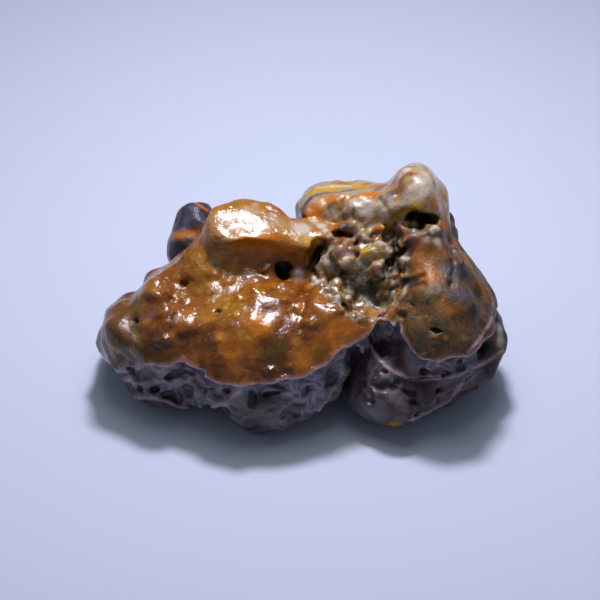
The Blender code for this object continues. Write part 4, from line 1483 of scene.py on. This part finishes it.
@dataclass(frozen=True)
class Palette:
    """Colours of the stone, as linear red, green and blue."""

    umber: Colour = (0.070, 0.026, 0.006)
    amber: Colour = (0.270, 0.095, 0.008)
    honey: Colour = (0.370, 0.160, 0.018)
    orange: Colour = (0.520, 0.170, 0.010)
    gold: Colour = (0.520, 0.300, 0.016)
    olive: Colour = (0.118, 0.070, 0.016)
    rust: Colour = (0.190, 0.055, 0.009)
    cream: Colour = (0.560, 0.500, 0.430)
    # pale pink of the lip edge, partly a painted highlight where the edge catches the light
    pink_lip: Colour = (0.600, 0.430, 0.450)
    lace: Colour = (0.330, 0.300, 0.370)
    lavender: Colour = (0.160, 0.148, 0.190)
    slate: Colour = (0.066, 0.066, 0.096)
    # dark soot of spots and pores, also the painted shade laid in hollows
    soot: Colour = (0.010, 0.007, 0.006)
    plum: Colour = (0.085, 0.055, 0.056)
    grey: Colour = (0.210, 0.198, 0.212)
    tan: Colour = (0.400, 0.250, 0.115)
    bone: Colour = (0.570, 0.480, 0.375)
    rose: Colour = (0.290, 0.120, 0.090)
    peat: Colour = (0.030, 0.022, 0.018)
    copper: Colour = (0.190, 0.068, 0.010)
    brown: Colour = (0.075, 0.040, 0.014)
    bark: Colour = (0.022, 0.014, 0.010)
    chestnut: Colour = (0.170, 0.075, 0.020)
    caramel: Colour = (0.310, 0.150, 0.040)
    sand: Colour = (0.420, 0.245, 0.085)
    wheat: Colour = (0.450, 0.310, 0.170)
    sage: Colour = (0.330, 0.300, 0.210)
    ash: Colour = (0.440, 0.410, 0.390)
    night: Colour = (0.026, 0.024, 0.036)
    ochre: Colour = (0.300, 0.170, 0.060)
    moss: Colour = (0.210, 0.160, 0.060)
    shell: Colour = (0.440, 0.390, 0.330)
    violet: Colour = (0.085, 0.077, 0.098)
    cocoa: Colour = (0.036, 0.024, 0.022)
    lead: Colour = (0.075, 0.066, 0.080)
    amber_stops: Stops = ((0.32, umber), (0.42, rust), (0.50, amber), (0.60, honey), (0.74, tan))
    mass_stops: Stops = ((0.30, peat), (0.41, copper), (0.49, brown), (0.56, olive), (0.62, rust),
                         (0.69, honey))
    # the sage and ash ends are partly a painted sheen that lightens the snout and the back ridge
    banded_stops: Stops = ((0.30, chestnut), (0.39, caramel), (0.47, sand), (0.55, wheat), (0.62, sage),
                           (0.74, ash))
    layer_stops: Stops = ((0.0, slate), (0.14, rose), (0.34, orange), (0.50, tan), (0.72, gold),
                          (0.88, bone))
    fin_stops: Stops = ((0.35, night), (0.6, slate), (0.8, lavender))
    pitted_stops: Stops = ((0.30, umber), (0.38, rust), (0.44, ochre), (0.51, moss), (0.59, shell),
                           (0.70, bone))
    wall_stops: Stops = ((0.30, soot), (0.42, plum), (0.49, violet), (0.58, lavender), (0.82, grey))
    lobe_stops: Stops = ((0.32, soot), (0.44, cocoa), (0.54, plum), (0.66, lead), (0.80, lavender))


@dataclass(frozen=True)
class Texture:
    """Clouds, patches, bands and dots of the colours, and how strongly each tint shows."""

    amber_large: Cloud = Cloud(5.5, 3.0, 0.55, 0.5)
    amber_small: Cloud = Cloud(1.5, 5.0, 0.62, 0.8, (7, 3, 1))
    amber_shares: Span = (0.55, 0.45)
    # painted shade on the amber: darker towards the bottom, lighter towards the top
    amber_level: float = 15.2
    amber_climb: float = 0.025
    amber_streak: Patch = Patch(Cloud(1.6, 3.0, 0.6, 1.2, (1, 5, 9), (0.5, 1.0, 1.6)), (0.56, 0.70), 0.6)
    speck: Dots = Dots(1.5, (3, 1, 2), (0.02, 0.26), 0.7)
    speck_place: Patch = Patch(Cloud(4.0, shift=(8, 8, 1)), (0.5, 0.6))
    fleck: Dots = Dots(1.1, (6, 2, 4), (0.12, 0.26), 0.7)
    fleck_place: Patch = Patch(Cloud(3.2, shift=(2, 4, 4)), (0.52, 0.60))
    mass: Cloud = Cloud(3.0, 5.0, 0.68, 0.7, (11, 2, 5))
    # painted shade on the mass: darker towards the bottom, lighter towards the top
    mass_level: float = 13.5
    mass_climb: float = 0.010
    freckle: Patch = Patch(Cloud(0.8, 4.0, 0.75, 0.0, (2, 7, 2)), (0.50, 0.60), 0.75)
    banded: Cloud = Cloud(2.4, 4.0, 0.6, 0.6, (2, 2, 7))
    grey_bands: Bands = Bands(
        Cloud(6.0, 2.0, 0.5, 1.0, (1, 1, 4), (0.6, 1.0, 1.0)), 42.0, (0.62, 0.92), 0.35)
    layer_waver: Cloud = Cloud(5.0, 3.0, 0.55, 0.6, (3, 1, 1))
    layer_ways: Vec3 = (1.7, 1.1, 9.0)
    layer_span: Span = (9.3, 11.5)
    layer_strength: float = 0.75
    fin: Cloud = Cloud(2.4, 4.0, 0.6, 0.5, (1, 7, 7))
    pitted: Cloud = Cloud(1.3, 4.0, 0.62, 0.5, (3, 8, 2))
    pitted_rust: Patch = Patch(Cloud(2.8, shift=(1, 1, 6)), (0.52, 0.64), 0.5)
    wall: Cloud = Cloud(2.2, 4.0, 0.64, 0.5, (4, 1, 1), (0.6, 0.8, 1.4))
    wall_rust: Patch = Patch(Cloud(3.4, shift=(6, 6, 2)), (0.58, 0.68), 0.5)
    lobe: Cloud = Cloud(4.2, 4.0, 0.6, 0.6, (5, 3, 8))
    lobe_bands: Bands = Bands(Cloud(7.0, 2.0, 0.5, 1.5, (1, 1, 4)), 34.0, (0.70, 0.95), 0.30)
    rim: Cloud = Cloud(0.9, 3.0, 0.6, 0.3, (0, 0, 5))
    rim_step: Vec3 = (1, 2, 0)
    rim_lift: float = 0.5
    tint_span: Span = (0.12, 0.80)
    tint_strength: float = 0.92
    broken: Patch = Patch(Cloud(0.9, 2.0, 0.6, 0.0, (2, 6, 2)), (0.20, 0.48))
    # strength of the pale lip, partly a painted highlight on the edge
    lip_strength: float = 0.95
    lace_strength: float = 0.8
    lobe_lace: float = 0.4
    # painted shade in the hollows: where it starts, how dark it gets, and how much less of it the amber
    # gets
    deep_span: Span = (0.0, 0.55)
    deep_strength: float = 0.85
    amber_clearness: float = 0.80


@dataclass(frozen=True)
class Gloss:
    """Polish and its wear, the finest relief, and how deep light goes into the stone."""

    least: float = 0.055
    low_dullness: float = 0.22
    mass_dullness: float = 0.37
    tint_dullness: tuple[tuple[Paint, float], ...] = (
        (Paint.OLIVE, 0.28), (Paint.SOOT, 0.40), (Paint.TAN, 0.10))
    wear: Patch = Patch(Cloud(1.6, 3.0, 0.6, 0.0, (5, 1, 1)), (0.40, 0.65), 0.12)
    glaze: Patch = Patch(Cloud(2.2, 3.0, 0.6, 0.0, (3, 9, 1)), (0.40, 0.62), 0.20)
    least_glaze: float = 0.15
    olive_span: Span = (0.0, 0.6)
    ripples: Cloud = Cloud(0.50, 3.0, 0.55, 0.2, (9, 4, 4))
    ripple_height: float = 0.9
    crumbs: Cloud = Cloud(0.22, shift=(1, 4, 4))
    crumb_height: float = 0.08
    pinhole: Dots = Dots(0.8, (2, 2, 2), (0.05, 0.25), 0.22)
    bump_strength: float = 0.8
    bump_metres: float = 0.00014
    refraction: float = 1.56
    specular: float = 0.40
    coat_roughness: float = 0.12
    clearness: float = 0.35
    clear_radius: Vec3 = (1.0, 0.42, 0.12)
    clear_metres: float = 0.0017


class AgateFinish:
    """One material for the whole skin: each kind of chalcedony, then the tints over it."""

    def __init__(self, palette: Palette, texture: Texture, gloss: Gloss) -> None:
        """Start the material."""
        self.palette = palette
        self.texture = texture
        self.gloss = gloss
        self.graph = Graph("gobi agate skin")
        self.zone = {zone: self.graph.attribute(zone.value) for zone in Zone}
        self.mark = {mark: self.graph.attribute(mark.value) for mark in Mark}

    def amber(self) -> bpy.types.NodeSocket:
        """Clear amber: clouds from umber to honey, darker towards the bottom as painted shade, rusty
        streaks and a few dark specks.

        Returns:
            The colour.
        """
        g, p, t = self.graph, self.palette, self.texture
        clouds = g.noise(t.amber_large) * t.amber_shares[0] + g.noise(t.amber_small) * t.amber_shares[1]
        # painted shade: darker towards the bottom, lighter towards the top
        clouds = clouds + (g.along("Z") - t.amber_level) * t.amber_climb
        base = g.ramp(clouds, p.amber_stops)
        base = g.mix(base, p.rust, g.patch(t.amber_streak) * t.amber_streak.strength)
        speck = (1.0 - g.dots(t.speck)) * g.patch(t.speck_place)
        base = g.mix(base, p.umber, speck * t.speck.strength)
        fleck = (1.0 - g.dots(t.fleck)) * g.patch(t.fleck_place)
        return g.mix(base, p.gold, fleck * t.fleck.strength)

    def mass(self) -> bpy.types.NodeSocket:
        """Right-hand mass: brown, olive and rust in small clouds with dark freckles, darker towards the
        bottom as painted shade.
        """
        g, p, t = self.graph, self.palette, self.texture
        clouds = g.noise(t.mass) + (g.along("Z") - t.mass_level) * t.mass_climb
        return g.mix(g.ramp(clouds, p.mass_stops), p.bark, g.patch(t.freckle) * t.freckle.strength)

    def banded(self) -> bpy.types.NodeSocket:
        """Snout and back ridge: tan, rose and grey clouds, drawn out into faint bands; the pale grey of its
        ramp is partly a painted sheen.

        Returns:
            The colour.
        """
        g, p, t = self.graph, self.palette, self.texture
        tan = g.mix(g.ramp(g.noise(t.banded), p.banded_stops), p.grey,
                    g.bands(t.grey_bands) * t.grey_bands.strength)
        back, up, waver = t.layer_ways
        depth = g.along("Y") * back - g.along("Z") * up + g.noise(t.layer_waver) * waver
        layers = g.ramp(depth.sine(), p.layer_stops)
        return g.mix(tan, layers, g.along("Y").rise(*t.layer_span) * t.layer_strength)

    def fin(self) -> bpy.types.NodeSocket:
        """Fin at the back left: slate violet."""
        return self.graph.ramp(self.graph.noise(self.texture.fin), self.palette.fin_stops)

    def pitted(self) -> bpy.types.NodeSocket:
        """Pitted hollow: brown, ochre and grey grains."""
        g, p, t = self.graph, self.palette, self.texture
        base = g.ramp(g.noise(t.pitted), p.pitted_stops)
        return g.mix(base, p.rust, g.patch(t.pitted_rust) * t.pitted_rust.strength)

    def wall(self) -> bpy.types.NodeSocket:
        """Wall under the lip: lavender grey with sooty and brown pores drawn out sideways."""
        g, p, t = self.graph, self.palette, self.texture
        base = g.ramp(g.noise(t.wall), p.wall_stops)
        return g.mix(base, p.rust, g.patch(t.wall_rust) * t.wall_rust.strength)

    def lobe(self) -> bpy.types.NodeSocket:
        """Lobes and hidden back: plum brown and dark grey with faint bands."""
        g, p, t = self.graph, self.palette, self.texture
        base = g.ramp(g.noise(t.lobe), p.lobe_stops)
        return g.mix(base, p.lavender, g.bands(t.lobe_bands) * t.lobe_bands.strength)

    def tints(self, base: bpy.types.NodeSocket) -> bpy.types.NodeSocket:
        """Lay the tints, each broken up at its rim by a cloud of its own.

        Args:
            base: colour that they are laid over.

        Returns:
            The tinted colour.
        """
        g, p, t = self.graph, self.palette, self.texture
        colours = {Paint.TAN: p.bone, Paint.ROSE: p.rose, Paint.OLIVE: p.olive, Paint.SLATE: p.slate,
                   Paint.ORANGE: p.orange, Paint.GOLD: p.gold, Paint.CREAM: p.cream, Paint.SOOT: p.soot}
        for number, (paint, colour) in enumerate(colours.items()):
            shift = tuple(start + number * step for start, step in zip(t.rim.shift, t.rim_step))
            cloud = g.noise(replace(t.rim, shift=shift))
            weight = (g.attribute(paint.value) * (cloud + t.rim_lift)).rise(*t.tint_span)
            base = g.mix(base, colour, weight * t.tint_strength)
        return base

    def colour(self) -> bpy.types.NodeSocket:
        """All kinds laid over each other, tinted, with painted shade in the hollows and a pale lip that is
        partly a painted highlight.

        Returns:
            The colour.
        """
        g, p, t, zone, mark = self.graph, self.palette, self.texture, self.zone, self.mark
        base = self.amber()
        for kind, laid in ((Zone.MASS, self.mass), (Zone.BANDED, self.banded), (Zone.FIN, self.fin),
                           (Zone.PITTED, self.pitted), (Zone.LOBE, self.lobe), (Zone.WALL, self.wall)):
            base = g.mix(base, laid(), zone[kind])
        base = self.tints(base)
        broken = g.patch(t.broken)
        # pale lip and seams: their pink tone, partly a painted highlight on these edges
        base = g.mix(base, p.pink_lip, mark[Mark.LIP] * broken * t.lip_strength)
        lace = mark[Mark.LACE] * (zone[Zone.WALL] + zone[Zone.LOBE] * t.lobe_lace)
        base = g.mix(base, p.lace, lace * broken * t.lace_strength)
        # painted shade: where openness is low, in hollows, caves and creases, the colour is darkened
        # towards soot, less so on the amber
        hollow_shade = 1.0 - mark[Mark.OPEN].rise(*t.deep_span)
        return g.mix(base, p.soot, hollow_shade * (t.deep_strength - zone[Zone.AMBER] * t.amber_clearness))

    def roughness(self) -> Wire:
        """Polished above, duller on the wall, the lobes, the fin and in the hollows.

        Returns:
            The roughness.
        """
        zone, gloss = self.zone, self.gloss
        low = zone[Zone.WALL] + zone[Zone.LOBE] + zone[Zone.FIN]
        dull = low * gloss.low_dullness + zone[Zone.MASS] * gloss.mass_dullness
        for paint, share in gloss.tint_dullness:
            dull = dull + self.graph.attribute(paint.value) * share
        return gloss.least + dull + self.graph.patch(gloss.wear) * gloss.wear.strength

    def glaze(self) -> Wire:
        """Clear polish on the amber, the banded top and the pitted hollow, in patches."""
        zone, gloss = self.zone, self.gloss
        worn = self.graph.patch(gloss.glaze) * gloss.glaze.strength + gloss.least_glaze
        dull = 1.0 - self.graph.attribute(Paint.OLIVE.value).rise(*gloss.olive_span)
        return (zone[Zone.AMBER] + zone[Zone.BANDED] + zone[Zone.PITTED]) * worn * dull

    def grain(self) -> bpy.types.NodeSocket:
        """Finest relief: tiny ripples that break up every gleam, and pinholes.

        Returns:
            The bent normal.
        """
        g, gloss = self.graph, self.gloss
        height = g.noise(gloss.ripples) * gloss.ripple_height + g.noise(gloss.crumbs) * gloss.crumb_height
        height = height + g.dots(gloss.pinhole) * gloss.pinhole.strength
        node = g.node("ShaderNodeBump", {}, {
            "Strength": gloss.bump_strength, "Distance": gloss.bump_metres, "Height": height})
        return node.outputs["Normal"]

    def build(self) -> bpy.types.Material:
        """The finished material.

        Returns:
            The material.
        """
        g, gloss = self.graph, self.gloss
        shader = g.node("ShaderNodeBsdfPrincipled", {"subsurface_method": "RANDOM_WALK"}, {
            "Base Color": self.colour(), "Roughness": self.roughness(), "Normal": self.grain(),
            "IOR": gloss.refraction, "Specular IOR Level": gloss.specular,
            "Coat Weight": self.glaze(), "Coat Roughness": gloss.coat_roughness,
            "Subsurface Weight": gloss.clearness, "Subsurface Radius": gloss.clear_radius,
            "Subsurface Scale": gloss.clear_metres})
        output = g.node("ShaderNodeOutputMaterial", {}, {"Surface": shader.outputs["BSDF"]})
        output.is_active_output = True
        return g.material


# ---------------------------------------------------------------- the stone

@dataclass
class AgateStone:
    """The nodule: its skin, the numbers kept on the skin, and its material."""

    dressed: DressedForm = field(default_factory=DressedForm)
    skin: NetSkin = field(default_factory=NetSkin)
    stains: Stains = field(default_factory=Stains)
    palette: Palette = field(default_factory=Palette)
    texture: Texture = field(default_factory=Texture)
    gloss: Gloss = field(default_factory=Gloss)
    zone_softness: float = 0.45
    pitted_span: Span = (0.15, 0.75)
    below_span: Span = (0.02, 0.22)
    behind_span: Span = (9.0, 13.0)
    low_span: Span = (-16.0, -11.0)
    open_reaches: Span = (0.6, 2.0)
    front_span: Span = (-2.0, 0.5)
    # the pale line along the lip and the seams, partly a painted highlight on these edges
    lip_rise: float = 0.05
    lip_width: float = 0.23
    seam_paleness: float = 0.55
    seam_width: float = 0.24

    def zones(self, points: np.ndarray) -> dict[str, np.ndarray]:
        """Weight of each kind of chalcedony: a soft choice of the nearest group of lumps.

        Args:
            points: places on the skin.

        Returns:
            One weight per zone and point, by attribute name.
        """
        form = self.dressed.form
        bent, upper, wall, feet = form.parts(points)
        near = {
            Zone.AMBER: np.minimum(blend(bent, form.slab), blend(bent, form.brow)),
            Zone.MASS: np.minimum(blend(bent, form.mass), blend(bent, form.chin)),
            Zone.BANDED: np.minimum(blend(bent, form.snout), blend(bent, form.band)),
            Zone.FIN: blend(bent, form.fin),
        }
        closest = np.minimum.reduce(list(near.values()))
        share = {zone: np.exp(-(gap - closest) / self.zone_softness) for zone, gap in near.items()}
        total = sum(share.values())
        weights = {zone: value / total for zone, value in share.items()}
        weights[Zone.PITTED] = smooth(form.pitted_weight(bent), *self.pitted_span)
        below = smooth(upper - np.minimum(wall, feet), *self.below_span) * (1.0 - weights[Zone.PITTED])
        lobe = smooth(wall - feet, *form.lobe_range)
        weights[Zone.WALL] = below * (1.0 - lobe)
        behind = smooth(points[..., 1], *self.behind_span) * smooth(-points[..., 2], *self.low_span)
        weights[Zone.LOBE] = np.maximum(below * lobe, behind)
        return {zone.value: weights[zone] for zone in Zone}

    def marks(self, points: np.ndarray, normals: np.ndarray) -> dict[str, np.ndarray]:
        """Openness, the pale lips and the tints: openness sets the painted shade in hollows, and the pale
        lips are partly a painted highlight.

        Openness compares the distance found a little way out along the normal with the way gone:
        in the open they are equal, in a hollow the distance is less.

        Args:
            points: places on the skin.
            normals: outward normals there.

        Returns:
            One number per mark and point, by attribute name.
        """
        dressed = self.dressed
        work = dressed.distance
        gone = self.open_reaches
        out = sum(in_chunks(work, points + normals * way) / way for way in gone) / len(gone)
        bent = dressed.form.bend(points)
        rise = bent[..., 2] - dressed.form.lip_height(bent)
        front = smooth(-bent[..., 1], *self.front_span)
        # pale line along the lip and seams: partly a painted highlight where the edges catch the light
        lip = front * np.exp(-((rise - self.lip_rise) / self.lip_width) ** 2)
        for path in dressed.sight.lay(work, [vein.path for vein in dressed.relief.seams]):
            gap = line_along(path, 0.0).distance(points)
            lip = np.maximum(lip, self.seam_paleness * np.exp(-(gap / self.seam_width) ** 2))
        _, lace = dressed.form.hide.lace(points)
        values = {Mark.OPEN: np.clip(out, 0.0, 1.0), Mark.LIP: lip, Mark.LACE: lace}
        values |= self.stains.weights(points, dressed.sight, work)
        return {mark.value: value for mark, value in values.items()}

    def build(self) -> bpy.types.Object:
        """Draw the skin, keep its numbers on it, dress it and put it in the scene.

        Returns:
            The one piece.
        """
        points, faces = self.skin.draw(self.dressed.distance)
        LOG.info("skin: %d points, %d faces", len(points), len(faces))
        mesh = bpy.data.meshes.new("agate_skin")
        mesh.vertices.add(len(points))
        mesh.vertices.foreach_set("co", ((points - np.array(MIDDLE)) * MM).astype(np.float32).ravel())
        mesh.loops.add(len(faces) * 4)
        mesh.loops.foreach_set("vertex_index", faces.astype(np.int32).ravel())
        mesh.polygons.add(len(faces))
        mesh.polygons.foreach_set("loop_start", np.arange(0, len(faces) * 4, 4, dtype=np.int32))
        mesh.update(calc_edges=True)
        mesh.validate()
        mesh.shade_smooth()
        normals = np.empty(len(points) * 3, np.float32)
        mesh.vertices.foreach_get("normal", normals)
        values = self.zones(points) | self.marks(points, normals.reshape(-1, 3).astype(float))
        for name, value in values.items():
            layer = mesh.attributes.new(name, "FLOAT", "POINT")
            layer.data.foreach_set("value", np.clip(value, 0.0, 1.0).astype(np.float32))
        stone = bpy.data.objects.new("agate_skin", mesh)
        bpy.context.scene.collection.objects.link(stone)
        mesh.materials.append(AgateFinish(self.palette, self.texture, self.gloss).build())
        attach(stone, "root")
        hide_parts("agate")
        return stone


# ---------------------------------------------------------------- studio

@dataclass(frozen=True)
class Lamp:
    """One soft area light."""

    name: str
    place: Vec3
    watts: float
    width: float
    height: float
    colour: Colour
    target: Vec3 = (0.0, 0.0, 0.01)

    def build(self) -> None:
        """Hang the light and turn it to its target."""
        data = bpy.data.lights.new(self.name, "AREA")
        data.shape = "ELLIPSE"
        data.energy = self.watts
        data.size, data.size_y = self.width, self.height
        data.color = self.colour
        lamp = bpy.data.objects.new(self.name, data)
        bpy.context.scene.collection.objects.link(lamp)
        lamp.location = self.place
        way = Vector(self.target) - Vector(self.place)
        lamp.rotation_euler = way.to_track_quat("-Z", "Y").to_euler()


@dataclass(frozen=True)
class Studio:
    """Pale floor, soft lights and the camera."""

    floor_colour: Colour = (0.56, 0.62, 0.76)
    floor_size: float = 1.6
    floor_roughness: float = 0.9
    sky_colour: Colour = (0.62, 0.68, 0.82)
    sky_strength: float = 0.20
    camera_rise: float = 42.0
    camera_gap: float = 0.200
    aim: Vec3 = (-0.184, -3.462, 12.58)
    pixels_per_mm: float = 8.9
    frame_pixels: float = 600.0
    sensor_mm: float = 36.0
    clip_start: float = 0.005
    lamps: tuple[Lamp, ...] = (
        Lamp("overhead softbox", (0.002, 0.020, 0.150), 0.066, 0.110, 0.090, (1.0, 0.97, 0.98)),
        Lamp("small key", (0.004, 0.036, 0.135), 0.160, 0.026, 0.020, (0.92, 0.89, 1.0)),
        Lamp("left window", (-0.30, 0.04, 0.20), 0.025, 0.12, 0.16, (0.86, 0.88, 1.0)),
    )

    def floor(self) -> None:
        """A pale matt sheet under the stone."""
        mesh = bpy.data.meshes.new("studio_floor")
        half = self.floor_size / 2
        corners = [(-half, -half, 0), (half, -half, 0), (half, half, 0), (-half, half, 0)]
        mesh.from_pydata(corners, [], [(0, 1, 2, 3)])
        graph = Graph("pale floor")
        shader = graph.node("ShaderNodeBsdfPrincipled", {},
                            {"Base Color": self.floor_colour, "Roughness": self.floor_roughness})
        graph.node("ShaderNodeOutputMaterial", {}, {"Surface": shader.outputs["BSDF"]})
        mesh.materials.append(graph.material)
        sheet = bpy.data.objects.new("studio_floor", mesh)
        bpy.context.scene.collection.objects.link(sheet)

    def sky(self) -> None:
        """Even, faintly blue light from all round."""
        world = bpy.data.worlds.new("studio")
        world.use_nodes = True
        background = world.node_tree.nodes["Background"]
        background.inputs["Color"].default_value = (*self.sky_colour, 1.0)
        background.inputs["Strength"].default_value = self.sky_strength
        bpy.context.scene.world = world

    def camera(self) -> None:
        """Look down at the stone's front, the stone filling the middle of the frame."""
        rise = math.radians(self.camera_rise)
        back = Vector((0.0, -math.cos(rise), math.sin(rise)))
        data = bpy.data.cameras.new("camera")
        data.sensor_width = self.sensor_mm
        data.lens = self.sensor_mm * self.camera_gap / MM / (self.frame_pixels / self.pixels_per_mm)
        data.clip_start = self.clip_start
        camera = bpy.data.objects.new("camera", data)
        bpy.context.scene.collection.objects.link(camera)
        camera.location = Vector(self.aim) * MM + back * self.camera_gap
        camera.rotation_euler = (-back).to_track_quat("-Z", "Y").to_euler()
        bpy.context.scene.camera = camera

    def build(self) -> None:
        """Put up the floor, the lights and the camera."""
        self.floor()
        self.sky()
        for lamp in self.lamps:
            lamp.build()
        self.camera()
        bpy.context.scene.view_settings.view_transform = "Standard"


def main() -> None:
    """Build the stone, then the studio, and report each."""
    logging.basicConfig(level=logging.INFO, format="%(name)s: %(message)s")
    stone = AgateStone().build()
    LOG.info("stone: %s, %d faces", stone.name, len(stone.data.polygons))
    studio = Studio()
    studio.build()
    LOG.info("studio: floor, %d lamps, camera", len(studio.lamps))


if __name__ == "__main__":
    main()
